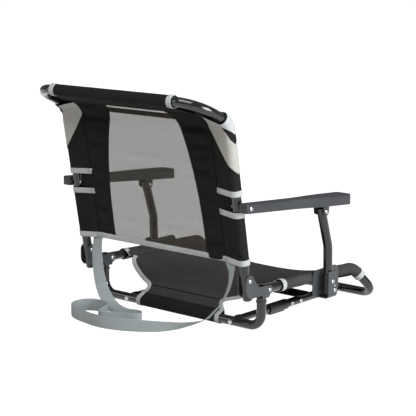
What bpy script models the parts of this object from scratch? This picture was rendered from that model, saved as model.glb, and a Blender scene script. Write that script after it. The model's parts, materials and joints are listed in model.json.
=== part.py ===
"""Low folding ground chair with a sling seat, a sling back, armrests and a carry strap.

Metres, +Z up.  +X is the sitter's right, +Y is where the sitter looks.  In the
drawing the rear floor bar lies at Y = 0; the root empty then moves the whole chair
so that its origin is at the middle of its footprint, on the floor.
"""
import math

import bmesh
import bpy
from mathutils import Matrix, Vector

# Driving dimensions: tube stock, cloth and fits
TUBE_R = 0.011            # frame tube, 22 mm outside
TUBE_WALL = 0.0012
TUBE_RES = 4              # curve bevel resolution, 12 sides
SLEEVE_SIDES = 12
ARC_STEP = math.radians(20)
SHARP = math.radians(40)
FIT = 0.0003              # gap between pieces that touch
CLOTH = 0.0014            # sling cloth thickness
PLATE = 0.0020            # pressed steel plate
RIVET_R = 0.0030
RIVET_HEAD_R = 0.0055
RIVET_HEAD_H = 0.0022
SLEEVE_R = TUBE_R + FIT + CLOTH

# Driving dimensions: frame, side tube plane and pivots as (Y, Z)
HALF_W = 0.250            # side tubes, from the middle plane
BACK_PIVOT = (-0.0575, 0.1330)
ARM_PIVOT = (-0.0875, 0.3060)
POST_PIVOT = (0.2145, 0.0875)
POST_KINK = (0.2125, 0.1720)
UPRIGHT_TAIL = 0.045      # upright below its pivot
BACK_KNEE_Z = 0.497       # where the uprights curl rearward
TOP_BAR_Y = -0.223
TOP_BAR_Z = 0.545
KNEE_BEND = 0.055
TOP_CORNER_BEND = 0.058
CAP_DEPTH = 0.010         # end cap, inside and outside the upright
CAP_HEAD = 0.0030
CAP_ROUND = 0.0022
RAIL_REAR = (0.0045, 0.1010)
RAIL_RIVET_IN = 0.0105    # rail rivet, from the rail's rear end
RAIL_FRONT = (0.361, 0.0885)
FRONT_BAR_Y = 0.4310
FRONT_SPLAY = 0.025       # front floor corners, outboard of the rails
RAIL_BEND = 0.048
FLOOR_CORNER_BEND = 0.034
BASE_BEND = 0.032
BASE_TOP_Z = 0.083        # top of the base tube's upturned ends

# Driving dimensions: brackets
HINGE_LOBE_R = 0.0135
HINGE_RAIL_LOBE_R = 0.0105
HINGE_WEB_HALF = 0.0120   # web over the base tube end, along Y
HINGE_LOW_Z = 0.0915      # lower edge of the plates behind the web
HINGE_CORNER = 0.0220     # their rounded rear corner
HINGE_DIP = (-0.004, -0.003)    # plate edge between its two lobes, from their middle
BRACKET_REAR = 0.038      # inner plate, behind and ahead of the post pivot
BRACKET_FRONT = 0.066
BRACKET_UP = 0.027
BRACKET_CORNER = 0.016
CRADLE_HALF = 0.0175      # half width of the narrow outer plate
CRADLE_DROP = 0.0405      # web underside below the post pivot
CRADLE_BEND = 0.009
BRACKET_RIVET_Y = 0.021   # bracket rivet, ahead of the post pivot

# Driving dimensions: arm posts
POST_SLEEVE_WALL = 0.0017
POST_SLEEVE_UP = 0.018
POST_SLEEVE_DOWN = 0.030
POST_STOP = (0.0085, -0.0225)   # stop pin from the post pivot
POST_SEAT = 0.0125        # tube end, below the pivot, inside the sleeve
STOP_RELIEF = 0.0140      # sleeve is cut away for the stop pin below this
POST_BEND = 0.035
POST_HEAD = 0.009         # tube beyond the upper pivot
PLATE_GAP = 0.0027        # inner bracket plate to the post sleeve

# Driving dimensions: armrests
ARM_REAR = 0.0140         # behind its rear pivot
ARM_TIP_Y = 0.277
ARM_REAR_W = 0.024
ARM_FRONT_W = 0.045
ARM_WIDEN_FROM = 0.15     # from the rear end
ARM_WIDEN_TO = 0.31
ARM_REAR_H = 0.022
ARM_FRONT_H = 0.0255
ARM_TOP_REAR_Z = 0.3180
ARM_TOP_FRONT_Z = 0.2910
ARM_WALL = 0.0030
ARM_TIP_ROUND = 0.011
ARM_REAR_ROUND = 0.005
EAR_T = 0.0040
EAR_R = 0.0105
ARM_SPACER_R = 0.0102
ARM_SPACER_T = 0.0040

# Driving dimensions: floor runners
RUNNER_X = 0.166
RUNNER_Z = 0.0131
RUNNER_REAR_R = 0.0088
RUNNER_FRONT_R = 0.0102
JOINER_Y = (0.130, 0.200)
JOINER_WALL = 0.0026
RUNNER_RIVET_Y = (0.2155, 0.2505)
RUNNER_END_L = 0.016
SPIGOT_L = 0.060          # joiner spigot inside the front tube
FOOT_HALF = 0.0070        # flat foot under the joiner
BRACE_Y = (0.236, 0.293)  # cross brace on top of the runners
BRACE_T = 0.0030
BRACE_OUT = 0.0140        # beyond each runner's axis
BRACE_CORNER = 0.0200

# Driving dimensions: slings
BACK_BOTTOM_UP = 0.040    # sling bottom above the back pivot, along the upright
ARM_GAP_DOWN = 0.012      # bare upright below and above the arm pivot
ARM_GAP_UP = 0.025
BACK_SEAM_IN = 0.052      # upright sleeve seam, inboard of the upright axis
MESH_BOTTOM_HALF = 0.147  # see-through middle panel, half width
MESH_TOP_HALF = 0.086
MESH_TAPER = 2.6          # power of height, so that it narrows faster near the top
TOP_SLEEVE_HALF = 0.186
SLING_CORNER_GAP = 0.003  # panels stop this far short of the top bends
SLEEVE_TOP_DOWN = 0.034   # upright sleeves stop this far below the panels
BACK_ROWS = 14
SEAT_SLEEVE_Y = 0.066
SEAT_SEAM_IN = 0.026      # sleeve seam, inboard of the rail axis
SEAT_SAG = 0.033
SAG_POWER = 2.6           # higher is flatter in the middle
SEAT_ROWS = 10
SEAT_LEG_DROP = 0.032     # seat sleeve runs this far down the front leg
SEAM_GAP = 0.0008
FLAP_TAIL = 0.030         # rear bar sleeve seam, from the bar's axis
FLAP_WAIST_HALF = 0.117   # cross seam, where the flap turns down to the bar
FLAP_WAIST_Y = 0.0215
FLAP_WAIST_Z = 0.0505
FLAP_WAIST_AT = 0.75      # share of the rows above the cross seam
FLAP_HALF = 0.130
FLAP_SEAT_HALF = 0.221
FLAP_DRAW = 1.2           # power of the flap's narrowing down to the cross seam
FLAP_ROWS = 8
SHEET_COLUMNS = 8
STRAP_W = 0.030
STRAP_T = 0.0018

# Worked out from the driving dimensions
UPRIGHT_DIR = (Vector(ARM_PIVOT) - Vector(BACK_PIVOT)).normalized()
POST_TOP = tuple(Vector(POST_PIVOT) + Vector(ARM_PIVOT) - Vector(BACK_PIVOT))
POST_SLEEVE_R = TUBE_R + FIT + POST_SLEEVE_WALL
BRACKET_X = HALF_W + SLEEVE_R + FIT
POST_X = BRACKET_X + PLATE + PLATE_GAP + POST_SLEEVE_R
CRADLE_X = POST_X + POST_SLEEVE_R + FIT
ARM_REAR_X = HALF_W + TUBE_R + FIT + ARM_SPACER_T + FIT + ARM_REAR_W / 2
REAR_BAR_Z = SLEEVE_R
TOP_BAR = (TOP_BAR_Y, TOP_BAR_Z)
SIDES = (("left", -1), ("right", 1))


def upright_point(height):
    """Point (Y, Z) on the straight upright's axis at the given height."""
    y, z = BACK_PIVOT
    run = (height - z) / UPRIGHT_DIR.y
    return (y + run * UPRIGHT_DIR.x, height)


def along_upright(distance):
    """Point (Y, Z) on the upright's axis, measured up from the back pivot."""
    return tuple(Vector(BACK_PIVOT) + UPRIGHT_DIR * distance)


def rail_point(y):
    """Point (Y, Z) on the side rail's axis."""
    (y0, z0), (y1, z1) = RAIL_REAR, RAIL_FRONT
    return (y, z0 + (z1 - z0) * (y - y0) / (y1 - y0))


def at_x(x, yz):
    return Vector((x, yz[0], yz[1]))


def fillet_path(corners, bends):
    """Points along straight runs joined by arcs of the given radii at the inner corners."""
    path = [corners[0]]
    for before, corner, after, radius in zip(corners, corners[1:], corners[2:], bends):
        back = (before - corner).normalized()
        ahead = (after - corner).normalized()
        half = back.angle(ahead) / 2
        centre = corner + (back + ahead).normalized() * (radius / math.sin(half))
        start = corner + back * (radius / math.tan(half)) - centre
        end = corner + ahead * (radius / math.tan(half)) - centre
        turn = start.angle(end)
        steps = max(2, math.ceil(turn / ARC_STEP))
        axis = start.cross(end).normalized()
        for i in range(steps + 1):
            path.append(centre + Matrix.Rotation(turn * i / steps, 3, axis) @ start)
    path.append(corners[-1])
    return path


def path_part(path, begin, end):
    """The stretch of a path between two lengths measured from its first point."""
    stretch = []
    done = 0.0
    for here, after in zip(path, path[1:]):
        step = (after - here).length
        if done <= begin < done + step:
            stretch.append(here.lerp(after, (begin - done) / step))
        if begin < done + step < end:
            stretch.append(after)
        if done < end <= done + step:
            stretch.append(here.lerp(after, (end - done) / step))
        done += step
    return stretch


def path_length(path):
    return sum((b - a).length for a, b in zip(path, path[1:]))


def refine(path, count):
    """The same path in count even steps."""
    length = path_length(path)
    return [path_part(path, length * i / count, length)[0] for i in range(count)] + [path[-1]]


def frames(path, towards):
    """At each point: the point, a unit vector across the path near towards, and the normal."""
    result = []
    for i, point in enumerate(path):
        ahead = path[min(i + 1, len(path) - 1)] - path[max(i - 1, 0)]
        ahead.normalize()
        across = (towards - ahead * towards.dot(ahead)).normalized()
        result.append((point, across, ahead.cross(across)))
    return result


def finish(name, bm, look, parent, smooth=True):
    """Close a bmesh into a named object with its material, hung on its parent empty."""
    bmesh.ops.recalc_face_normals(bm, faces=bm.faces)
    mesh = bpy.data.meshes.new(name)
    bm.to_mesh(mesh)
    bm.free()
    return place(name, mesh, look, parent, smooth)


def place(name, mesh, look, parent, smooth=True):
    mesh.materials.clear()
    mesh.materials.append(look)
    if smooth:
        mesh.shade_smooth()
        mesh.set_sharp_from_angle(angle=SHARP)
    obj = bpy.data.objects.new(name, mesh)
    bpy.context.collection.objects.link(obj)
    obj.parent = parent
    obj.matrix_parent_inverse = Matrix.Translation(-drawn_at(parent))
    return obj


def drawn_at(parent):
    """Where an empty stands in the drawing, before the root is moved."""
    place_sum = Vector((0, 0, 0))
    while parent is not None:
        place_sum += parent.location
        parent = parent.parent
    return place_sum


def hinge(name, location, parent):
    empty = bpy.data.objects.new(name, None)
    bpy.context.collection.objects.link(empty)
    empty.parent = parent
    empty.location = location - drawn_at(parent)
    return empty


def cut(target, *cutters, operation="DIFFERENCE"):
    for cutter in cutters:
        modifier = target.modifiers.new(cutter.name, "BOOLEAN")
        modifier.operation = operation
        modifier.solver = "EXACT"
        modifier.object = cutter


def guide(obj):
    obj.hide_render = True
    obj.display_type = "WIRE"
    return obj


def swept(name, path, radius):
    """Open round skin along a path, from a curve with a bevel, facing outwards."""
    curve = bpy.data.curves.new(name, "CURVE")
    curve.dimensions = "3D"
    curve.bevel_depth = radius
    curve.bevel_resolution = TUBE_RES
    curve.resolution_u = 1
    curve.render_resolution_u = 0
    spline = curve.splines.new("POLY")
    spline.points.add(len(path) - 1)
    for point, co in zip(spline.points, path):
        point.co = (*co, 1.0)
    sketch = bpy.data.objects.new(name, curve)
    bpy.context.collection.objects.link(sketch)
    mesh = bpy.data.meshes.new_from_object(sketch.evaluated_get(bpy.context.evaluated_depsgraph_get()))
    bpy.data.objects.remove(sketch)
    bpy.data.curves.remove(curve)
    face = mesh.polygons[0]
    nearest = min(path, key=lambda co: (co - face.center).length)
    if face.normal.dot(face.center - nearest) < 0:
        mesh.flip_normals()
    return mesh


def tube(name, path, radius, look, parent):
    """Hollow tube along a path: the skin gets the wall on its inner side."""
    obj = place(name, swept(name, path, radius), look, parent)
    wall = obj.modifiers.new("wall", "SOLIDIFY")
    wall.thickness = TUBE_WALL
    wall.offset = -1
    return obj


def lathe(bm, profile, seat, axis, segments=12):
    """Turn a profile of (radius, height) about an axis through seat; ends lie on the axis."""
    part = bmesh.new()
    points = [part.verts.new((r, 0, h)) for r, h in profile]
    lines = [part.edges.new(pair) for pair in zip(points, points[1:])]
    bmesh.ops.spin(part, geom=points + lines, cent=(0, 0, 0), axis=(0, 0, 1),
                   angle=math.tau, steps=segments)
    bmesh.ops.remove_doubles(part, verts=part.verts, dist=1e-6)
    turn = Vector((0, 0, 1)).rotation_difference(axis).to_matrix().to_4x4()
    part.transform(Matrix.Translation(seat) @ turn)
    mesh = bpy.data.meshes.new("turned")
    part.to_mesh(mesh)
    part.free()
    bm.from_mesh(mesh)
    bpy.data.meshes.remove(mesh)


def round_bar(bm, start, end, radius, segments=12):
    axis = end - start
    length = axis.length
    lathe(bm, [(0, 0), (radius, 0), (radius, length), (0, length)], start, axis.normalized(), segments)


def pin_cutter(name, start, end, radius, parent):
    bm = bmesh.new()
    round_bar(bm, start, end, radius)
    return guide(finish(name, bm, STEEL, parent))


def box(bm, low, high):
    result = bmesh.ops.create_cube(bm, size=1)
    for vert in result["verts"]:
        vert.co = Vector([lo + (hi - lo) * (c + 0.5) for lo, hi, c in zip(low, high, vert.co)])


def rivets(label, spans, *parents, tail="head"):
    """Solid rivets, one object each, clamping the spans between pairs of points.

    The far end has a domed head; the near end has a head too, or is a plain pin end.
    One parent carries them all, or each has its own.
    """
    carriers = parents if len(parents) > 1 else parents * len(spans)
    for (start, end), which, carrier in zip(spans, names_of(spans), carriers):
        grip = (end - start).length
        dome = [(RIVET_R, grip), (RIVET_HEAD_R, grip),
                (RIVET_HEAD_R * 0.6, grip + RIVET_HEAD_H * 0.8), (0, grip + RIVET_HEAD_H)]
        profile = [(0, FIT), (RIVET_R, FIT)] + dome
        if tail == "head":
            profile = [(r, grip - h) for r, h in reversed(dome)] + dome
        bm = bmesh.new()
        lathe(bm, profile, start, (end - start).normalized(), 10)
        finish(f"{label}_{which}", bm, STEEL, carrier)


def names_of(spans):
    """left and right for a pair of spans, with a number each where there are more pairs."""
    if len(spans) == len(SIDES):
        return [name for name, _ in SIDES]
    pairs = range(1, len(spans) // len(SIDES) + 1)
    return [f"{name}_{number}" for number in pairs for name, _ in SIDES]


def rivet_holes(name, spans, parent, radius=RIVET_R):
    """One hidden cutter with a clear hole for each rivet, longer than its grip."""
    bm = bmesh.new()
    for start, end in spans:
        reach = (end - start).normalized() * (RIVET_HEAD_H + FIT)
        round_bar(bm, start - reach, end + reach, radius + FIT, 10)
    return guide(finish(name, bm, STEEL, parent))


def arc(centre, radius, begin, end, steps):
    """Points on an arc in a plane, angles in degrees from its first axis towards Z."""
    points = []
    for i in range(steps + 1):
        angle = math.radians(begin + (end - begin) * i / steps)
        points.append((centre[0] + radius * math.cos(angle), centre[1] + radius * math.sin(angle)))
    return points


def plate(bm, outline, x_low, x_high):
    """Flat plate: an outline in Y and Z, extruded along X."""
    face = bm.faces.new([bm.verts.new((x_low, y, z)) for y, z in outline])
    extruded = bmesh.ops.extrude_face_region(bm, geom=[face])
    for item in extruded["geom"]:
        if isinstance(item, bmesh.types.BMVert):
            item.co.x = x_high


def sleeve(name, path, inward, seam, look, parent):
    """Cloth sleeve round a tube, closed by a seam: a ring with a flat tail to the seam line."""
    tail = math.asin(CLOTH / 2 / SLEEVE_R)
    angles = [tail + (math.tau - 2 * tail) * i / SLEEVE_SIDES for i in range(SLEEVE_SIDES + 1)]
    outside = [(SLEEVE_R * math.cos(t), SLEEVE_R * math.sin(t)) for t in angles]
    outside += [(seam, -CLOTH / 2), (seam, CLOTH / 2)]
    inside = [((TUBE_R + FIT) * math.cos(t), (TUBE_R + FIT) * math.sin(t)) for t in angles]
    bm = bmesh.new()
    loops = []
    for point, across, normal in frames(path, inward):
        loops.append([[bm.verts.new(point + across * a + normal * b) for a, b in ring]
                      for ring in (outside, inside)])
    for (outer, inner), (outer2, inner2) in zip(loops, loops[1:]):
        skin(bm, outer, outer2)
        skin(bm, inner2, inner)
    for outer, inner in (loops[0], loops[-1]):
        ring = len(inner)
        for i in range(ring - 1):
            bm.faces.new((outer[i], outer[i + 1], inner[i + 1], inner[i]))
        bm.faces.new((outer[ring - 1], outer[ring], outer[ring + 1], outer[0], inner[0], inner[ring - 1]))
    return finish(name, bm, look, parent)


def skin(bm, loop, after):
    count = len(loop)
    for i in range(count):
        j = (i + 1) % count
        bm.faces.new((loop[i], loop[j], after[j], after[i]))


def cloth_sheet(name, rows, look, parent):
    """Sheet over a grid of points, thickened evenly to both sides."""
    bm = bmesh.new()
    grid = [[bm.verts.new(point) for point in row] for row in rows]
    for row, above in zip(grid, grid[1:]):
        for i in range(len(row) - 1):
            bm.faces.new((row[i], row[i + 1], above[i + 1], above[i]))
    obj = finish(name, bm, look, parent)
    thick = obj.modifiers.new("cloth", "SOLIDIFY")
    thick.thickness = CLOTH
    thick.offset = 0
    return obj


def look(name, colour, roughness, metallic=0.0):
    material = bpy.data.materials.new(name)
    material.use_nodes = True
    shader = material.node_tree.nodes["Principled BSDF"]
    shader.inputs["Base Color"].default_value = (*colour, 1.0)
    shader.inputs["Roughness"].default_value = roughness
    shader.inputs["Metallic"].default_value = metallic
    material.diffuse_color = (*colour, 1.0)
    return material


for old in list(bpy.data.objects):
    bpy.data.objects.remove(old)

GUNMETAL = look("gunmetal_tube", (0.045, 0.047, 0.052), 0.28, 0.85)
BRACKET = look("bracket_grey", (0.115, 0.117, 0.122), 0.45, 0.6)
STEEL = look("bright_rivet", (0.78, 0.79, 0.80), 0.2, 1.0)
ARM_PLASTIC = look("arm_plastic", (0.058, 0.060, 0.066), 0.42)
BLACK_PLASTIC = look("black_plastic", (0.012, 0.012, 0.013), 0.5)
BLACK_CLOTH = look("black_cloth", (0.016, 0.016, 0.016), 0.85)
SEAT_CLOTH = look("seat_cloth", (0.022, 0.020, 0.019), 0.8)
MESH_CLOTH = look("mesh_cloth", (0.36, 0.34, 0.30), 0.8)
WEBBING = look("webbing", (0.22, 0.25, 0.25), 0.8)

root = hinge("chair", Vector((0, 0, 0)), None)
back = hinge("back_hinge", at_x(0, BACK_PIVOT), root)
posts = {name: hinge(f"post_hinge_{name}", at_x(side * POST_X, POST_PIVOT), root) for name, side in SIDES}
arms = {name: hinge(f"arm_hinge_{name}", at_x(side * POST_X, ARM_PIVOT), back) for name, side in SIDES}
INWARD = {side: Vector((-side, 0, 0)) for _, side in SIDES}


def both(span_of):
    """The same span on the left and on the right side."""
    return [span_of(side) for _, side in SIDES]


def across_span(yz, inner, outer):
    """Spans along X at one (Y, Z), between two distances from the middle plane."""
    return both(lambda side: (at_x(side * inner, yz), at_x(side * outer, yz)))


# Rivets first, because their holes are cut in the pieces that they hold
RAIL_RIVET = rail_point(RAIL_REAR[0] + RAIL_RIVET_IN)
HINGE_OUT = TUBE_R + FIT + PLATE
back_pivots = across_span(BACK_PIVOT, HALF_W - HINGE_OUT, HALF_W + HINGE_OUT)
rail_rivets = across_span(RAIL_RIVET, HALF_W - HINGE_OUT, HALF_W + HINGE_OUT)
arm_pivots = across_span(ARM_PIVOT, HALF_W - TUBE_R, ARM_REAR_X + ARM_REAR_W / 2 + FIT)
post_pivots = across_span(POST_PIVOT, BRACKET_X, CRADLE_X + PLATE)
STOP_PIN = (POST_PIVOT[0] + POST_STOP[0], POST_PIVOT[1] + POST_STOP[1])
stop_pins = across_span(STOP_PIN, BRACKET_X, CRADLE_X + PLATE)
bracket_rivets = across_span(rail_point(POST_PIVOT[0] + BRACKET_RIVET_Y), HALF_W + TUBE_R - 2 * TUBE_WALL,
                             BRACKET_X + PLATE)
base_rivets = both(lambda side: (Vector((side * RUNNER_X, -TUBE_R, REAR_BAR_Z)),
                                 Vector((side * RUNNER_X, TUBE_R + FIT + RUNNER_END_L / 2, REAR_BAR_Z))))
runner_rivets = []
for rivet_y in RUNNER_RIVET_Y:
    runner_rivets += across_span((rivet_y, RUNNER_Z), RUNNER_X - RUNNER_FRONT_R, RUNNER_X + RUNNER_FRONT_R)

rivets("back_pivot_rivet", back_pivots, root)
rivets("rail_rivet", rail_rivets, root)
rivets("arm_pivot_rivet", arm_pivots, back)
rivets("runner_rivet", runner_rivets, root)
rivets("post_pivot_pin", post_pivots, root, tail="pin")
rivets("post_stop_pin", stop_pins, root, tail="pin")
rivets("bracket_rivet", bracket_rivets, root, tail="pin")
rivets("base_rivet", [(front, rear) for rear, front in base_rivets], root, tail="pin")

back_holes = rivet_holes("back_pivot_holes", back_pivots, root)
rail_holes = rivet_holes("rail_rivet_holes", rail_rivets, root)
arm_holes = rivet_holes("arm_pivot_holes", arm_pivots, back)
post_holes = rivet_holes("post_pivot_holes", post_pivots, root)
stop_holes = rivet_holes("stop_pin_holes", stop_pins, root)
bracket_holes = rivet_holes("bracket_rivet_holes", bracket_rivets, root)
base_holes = rivet_holes("base_rivet_holes", base_rivets, root)
runner_holes = rivet_holes("runner_rivet_holes", runner_rivets, root)

# Back frame: one tube, two uprights that curl rearward into the top bar
KNEE = upright_point(BACK_KNEE_Z)
UPRIGHT_END = along_upright(-UPRIGHT_TAIL)
back_corners = [at_x(HALF_W, UPRIGHT_END), at_x(HALF_W, KNEE), at_x(HALF_W, TOP_BAR)]
back_corners += [Vector((-p.x, p.y, p.z)) for p in reversed(back_corners)]
back_bends = [KNEE_BEND, TOP_CORNER_BEND, TOP_CORNER_BEND, KNEE_BEND]
frame_back = tube("back_frame_tube", fillet_path(back_corners, back_bends), TUBE_R, GUNMETAL, back)
cut(frame_back, back_holes, arm_holes)
for name, side in SIDES:
    bm = bmesh.new()
    foot = at_x(side * HALF_W, UPRIGHT_END)
    down = -at_x(0, UPRIGHT_DIR)
    bore = TUBE_R - TUBE_WALL - FIT
    lathe(bm, [(0, -CAP_DEPTH), (bore, -CAP_DEPTH), (bore, FIT), (TUBE_R, FIT),
               (TUBE_R - CAP_ROUND, CAP_HEAD), (0, CAP_HEAD)], foot, down)
    finish(f"upright_cap_{name}", bm, BLACK_PLASTIC, back)

# Seat frame: side rails, front legs and the front floor bar bent from one tube
front_corners = [at_x(HALF_W, RAIL_REAR), at_x(HALF_W, RAIL_FRONT),
                 Vector((HALF_W + FRONT_SPLAY, FRONT_BAR_Y, TUBE_R))]
front_corners += [Vector((-p.x, p.y, p.z)) for p in reversed(front_corners)]
front_bends = [RAIL_BEND, FLOOR_CORNER_BEND, FLOOR_CORNER_BEND, RAIL_BEND]
seat_frame = tube("seat_frame_tube", fillet_path(front_corners, front_bends), TUBE_R, GUNMETAL, root)
cut(seat_frame, rail_holes, bracket_holes)

# Rear floor bar with both ends turned up into the hinge brackets
base_corners = [Vector((HALF_W, 0, BASE_TOP_Z)), Vector((HALF_W, 0, REAR_BAR_Z))]
base_corners += [Vector((-p.x, p.y, p.z)) for p in reversed(base_corners)]
base_path = fillet_path(base_corners, [BASE_BEND, BASE_BEND])
base_tube = tube("rear_base_tube", base_path, TUBE_R, GUNMETAL, root)
cut(base_tube, base_holes)

# Hinge brackets: folded channels that hold upright, rail end and base tube end
WEB_Z = BASE_TOP_Z + FIT
for name, side in SIDES:
    dip = (Vector(BACK_PIVOT) + Vector(RAIL_RIVET)) / 2 + Vector(HINGE_DIP)
    corner = (BACK_PIVOT[0] - HINGE_LOBE_R + HINGE_CORNER, HINGE_LOW_Z + HINGE_CORNER)
    outline = arc(corner, HINGE_CORNER, 270, 180, 6)
    outline += arc(BACK_PIVOT, HINGE_LOBE_R, 180, 40, 7) + [tuple(dip)]
    outline += arc(RAIL_RIVET, HINGE_RAIL_LOBE_R, 80, -85, 7)
    outline += [(HINGE_WEB_HALF, WEB_Z), (-HINGE_WEB_HALF, WEB_Z), (-HINGE_WEB_HALF, HINGE_LOW_Z)]
    bm = bmesh.new()
    plate(bm, outline, side * (HALF_W - HINGE_OUT), side * (HALF_W + HINGE_OUT))
    bracket = finish(f"hinge_bracket_{name}", bm, BRACKET, root, smooth=False)
    bm = bmesh.new()
    slot = TUBE_R + FIT
    box(bm, (side * HALF_W - slot, BACK_PIVOT[0] - HALF_W, WEB_Z + PLATE),
        (side * HALF_W + slot, RAIL_RIVET[0] + HALF_W, BACK_PIVOT[1] + HALF_W))
    channel = guide(finish(f"hinge_channel_{name}", bm, BRACKET, root, smooth=False))
    cut(bracket, channel, back_holes, rail_holes)


def on_runner(x, y):
    """Point on a floor runner's axis."""
    return Vector((x, y, RUNNER_Z))


# Floor runners: rear tube, joiner with a flat foot, front tube
for name, side in SIDES:
    x = side * RUNNER_X
    end_y = TUBE_R + FIT
    rear_y = end_y + RUNNER_END_L + FIT
    joint_y, front_y = JOINER_Y
    stop_y = FRONT_BAR_Y - TUBE_R - FIT
    bm = bmesh.new()
    round_bar(bm, on_runner(x, end_y), on_runner(x, end_y + RUNNER_END_L), RUNNER_FRONT_R)
    cut(finish(f"runner_end_{name}", bm, BLACK_PLASTIC, root), base_holes)
    middle = (joint_y + front_y) / 2
    tube(f"runner_rear_{name}", [on_runner(x, rear_y), on_runner(x, middle - FIT)], RUNNER_REAR_R,
         GUNMETAL, root)
    front_tube = tube(f"runner_front_{name}", [on_runner(x, front_y + FIT), on_runner(x, stop_y)],
                      RUNNER_FRONT_R, GUNMETAL, root)
    cut(front_tube, runner_holes)
    body_r = RUNNER_FRONT_R + JOINER_WALL
    socket_r = RUNNER_REAR_R + FIT
    spigot_r = RUNNER_FRONT_R - TUBE_WALL - FIT
    tip_y = front_y + SPIGOT_L
    bm = bmesh.new()
    lathe(bm, [(0, middle), (socket_r, middle), (socket_r, joint_y), (body_r, joint_y), (body_r, front_y),
               (spigot_r, front_y), (spigot_r, tip_y), (0, tip_y)], on_runner(x, 0), Vector((0, 1, 0)))
    joiner = finish(f"runner_joiner_{name}", bm, BLACK_PLASTIC, root)
    bm = bmesh.new()
    box(bm, (x - FOOT_HALF, joint_y + JOINER_WALL, 0),
        (x + FOOT_HALF, front_y - body_r, RUNNER_Z - socket_r - FIT))
    foot = guide(finish(f"joiner_foot_{name}", bm, BLACK_PLASTIC, root, smooth=False))
    cut(joiner, foot, operation="UNION")
    cut(joiner, runner_holes)

# Cross brace: a flat moulded strip with rounded ends that lies on both runners
brace_low, brace_high = BRACE_Y
round_x = RUNNER_X + BRACE_OUT - BRACE_CORNER
outline = arc((-round_x, brace_low + BRACE_CORNER), BRACE_CORNER, 270, 180, 4)
outline += arc((-round_x, brace_high - BRACE_CORNER), BRACE_CORNER, 180, 90, 4)
outline += arc((round_x, brace_high - BRACE_CORNER), BRACE_CORNER, 90, 0, 4)
outline += arc((round_x, brace_low + BRACE_CORNER), BRACE_CORNER, 0, -90, 4)
brace_z = RUNNER_Z + RUNNER_FRONT_R + FIT
bm = bmesh.new()
face = bm.faces.new([bm.verts.new((bx, by, brace_z)) for bx, by in outline])
for item in bmesh.ops.extrude_face_region(bm, geom=[face])["geom"]:
    if isinstance(item, bmesh.types.BMVert):
        item.co.z = brace_z + BRACE_T
finish("cross_brace", bm, BLACK_PLASTIC, root, smooth=False)

# Side brackets: a wide plate on the rail and a narrow cradle plate outboard of the post
for name, side in SIDES:
    y, z = POST_PIVOT
    low = z - CRADLE_DROP
    high = z + BRACKET_UP
    outline = arc((y - BRACKET_REAR + BRACKET_CORNER, low + BRACKET_CORNER), BRACKET_CORNER, 270, 180, 4)
    outline += arc((y - BRACKET_REAR + BRACKET_CORNER, high - BRACKET_CORNER), BRACKET_CORNER, 180, 90, 4)
    outline += arc((y + BRACKET_FRONT - BRACKET_CORNER, high - BRACKET_CORNER), BRACKET_CORNER, 90, 0, 4)
    outline += arc((y + BRACKET_FRONT - BRACKET_CORNER, low + BRACKET_CORNER), BRACKET_CORNER, 0, -90, 4)
    bm = bmesh.new()
    plate(bm, outline, side * BRACKET_X, side * (BRACKET_X + PLATE))
    bracket = finish(f"side_bracket_{name}", bm, BRACKET, root, smooth=False)
    outer_x = CRADLE_X + PLATE
    turn_at = (outer_x - CRADLE_BEND, low + CRADLE_BEND)
    bend = [(BRACKET_X + PLATE / 2, low)] + arc(turn_at, CRADLE_BEND, -90, 0, 4)
    bend += [(outer_x, high - PLATE), (CRADLE_X, high - PLATE)]
    bend += arc(turn_at, CRADLE_BEND - PLATE, 0, -90, 4) + [(BRACKET_X + PLATE / 2, low + PLATE)]
    bm = bmesh.new()
    face = bm.faces.new([bm.verts.new((side * bx, y - CRADLE_HALF, bz)) for bx, bz in bend])
    for item in bmesh.ops.extrude_face_region(bm, geom=[face])["geom"]:
        if isinstance(item, bmesh.types.BMVert):
            item.co.y = y + CRADLE_HALF
    cradle = guide(finish(f"cradle_{name}", bm, BRACKET, root, smooth=False))
    cut(bracket, cradle, operation="UNION")
    cut(bracket, post_holes, stop_holes, bracket_holes)

# Arm posts: bent tubes in moulded lower sleeves that rest against the stop pins
POST_LOW = (Vector(POST_KINK) - Vector(POST_PIVOT)).normalized()
POST_HIGH = (Vector(POST_TOP) - Vector(POST_KINK)).normalized()
EAR_OUT = TUBE_R + FIT + EAR_T
top_rivets = across_span(POST_TOP, POST_X - EAR_OUT, POST_X + EAR_OUT)
rivets("post_top_rivet", top_rivets, *arms.values())
top_holes = rivet_holes("post_top_holes", top_rivets, root)
for name, side in SIDES:
    hung = posts[name]
    x = side * POST_X
    seat = at_x(x, Vector(POST_PIVOT) - POST_LOW * POST_SEAT)
    head = at_x(x, Vector(POST_TOP) + POST_HIGH * POST_HEAD)
    post_path = fillet_path([seat, at_x(x, POST_KINK), head], [POST_BEND])
    post = tube(f"post_{name}", post_path, TUBE_R, GUNMETAL, hung)
    cut(post, post_holes, top_holes)
    bm = bmesh.new()
    round_bar(bm, at_x(x, Vector(POST_PIVOT) - POST_LOW * POST_SLEEVE_DOWN),
              at_x(x, Vector(POST_PIVOT) + POST_LOW * POST_SLEEVE_UP), POST_SLEEVE_R)
    lower = finish(f"post_sleeve_{name}", bm, BLACK_PLASTIC, hung)
    bore = pin_cutter(f"post_bore_{name}", at_x(x, Vector(POST_PIVOT) - POST_LOW * (POST_SEAT + FIT)),
                      at_x(x, Vector(POST_PIVOT) + POST_LOW * (POST_SLEEVE_UP + POST_SLEEVE_DOWN)),
                      TUBE_R + FIT, root)
    bm = bmesh.new()
    face_y = STOP_PIN[0] - RIVET_R - FIT
    box(bm, (x - POST_SLEEVE_DOWN, face_y, POST_PIVOT[1] - 2 * POST_SLEEVE_DOWN),
        (x + POST_SLEEVE_DOWN, face_y + POST_SLEEVE_DOWN, POST_PIVOT[1] - STOP_RELIEF))
    relief = guide(finish(f"stop_relief_{name}", bm, BLACK_PLASTIC, root, smooth=False))
    cut(lower, bore, relief, post_holes)

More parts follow.
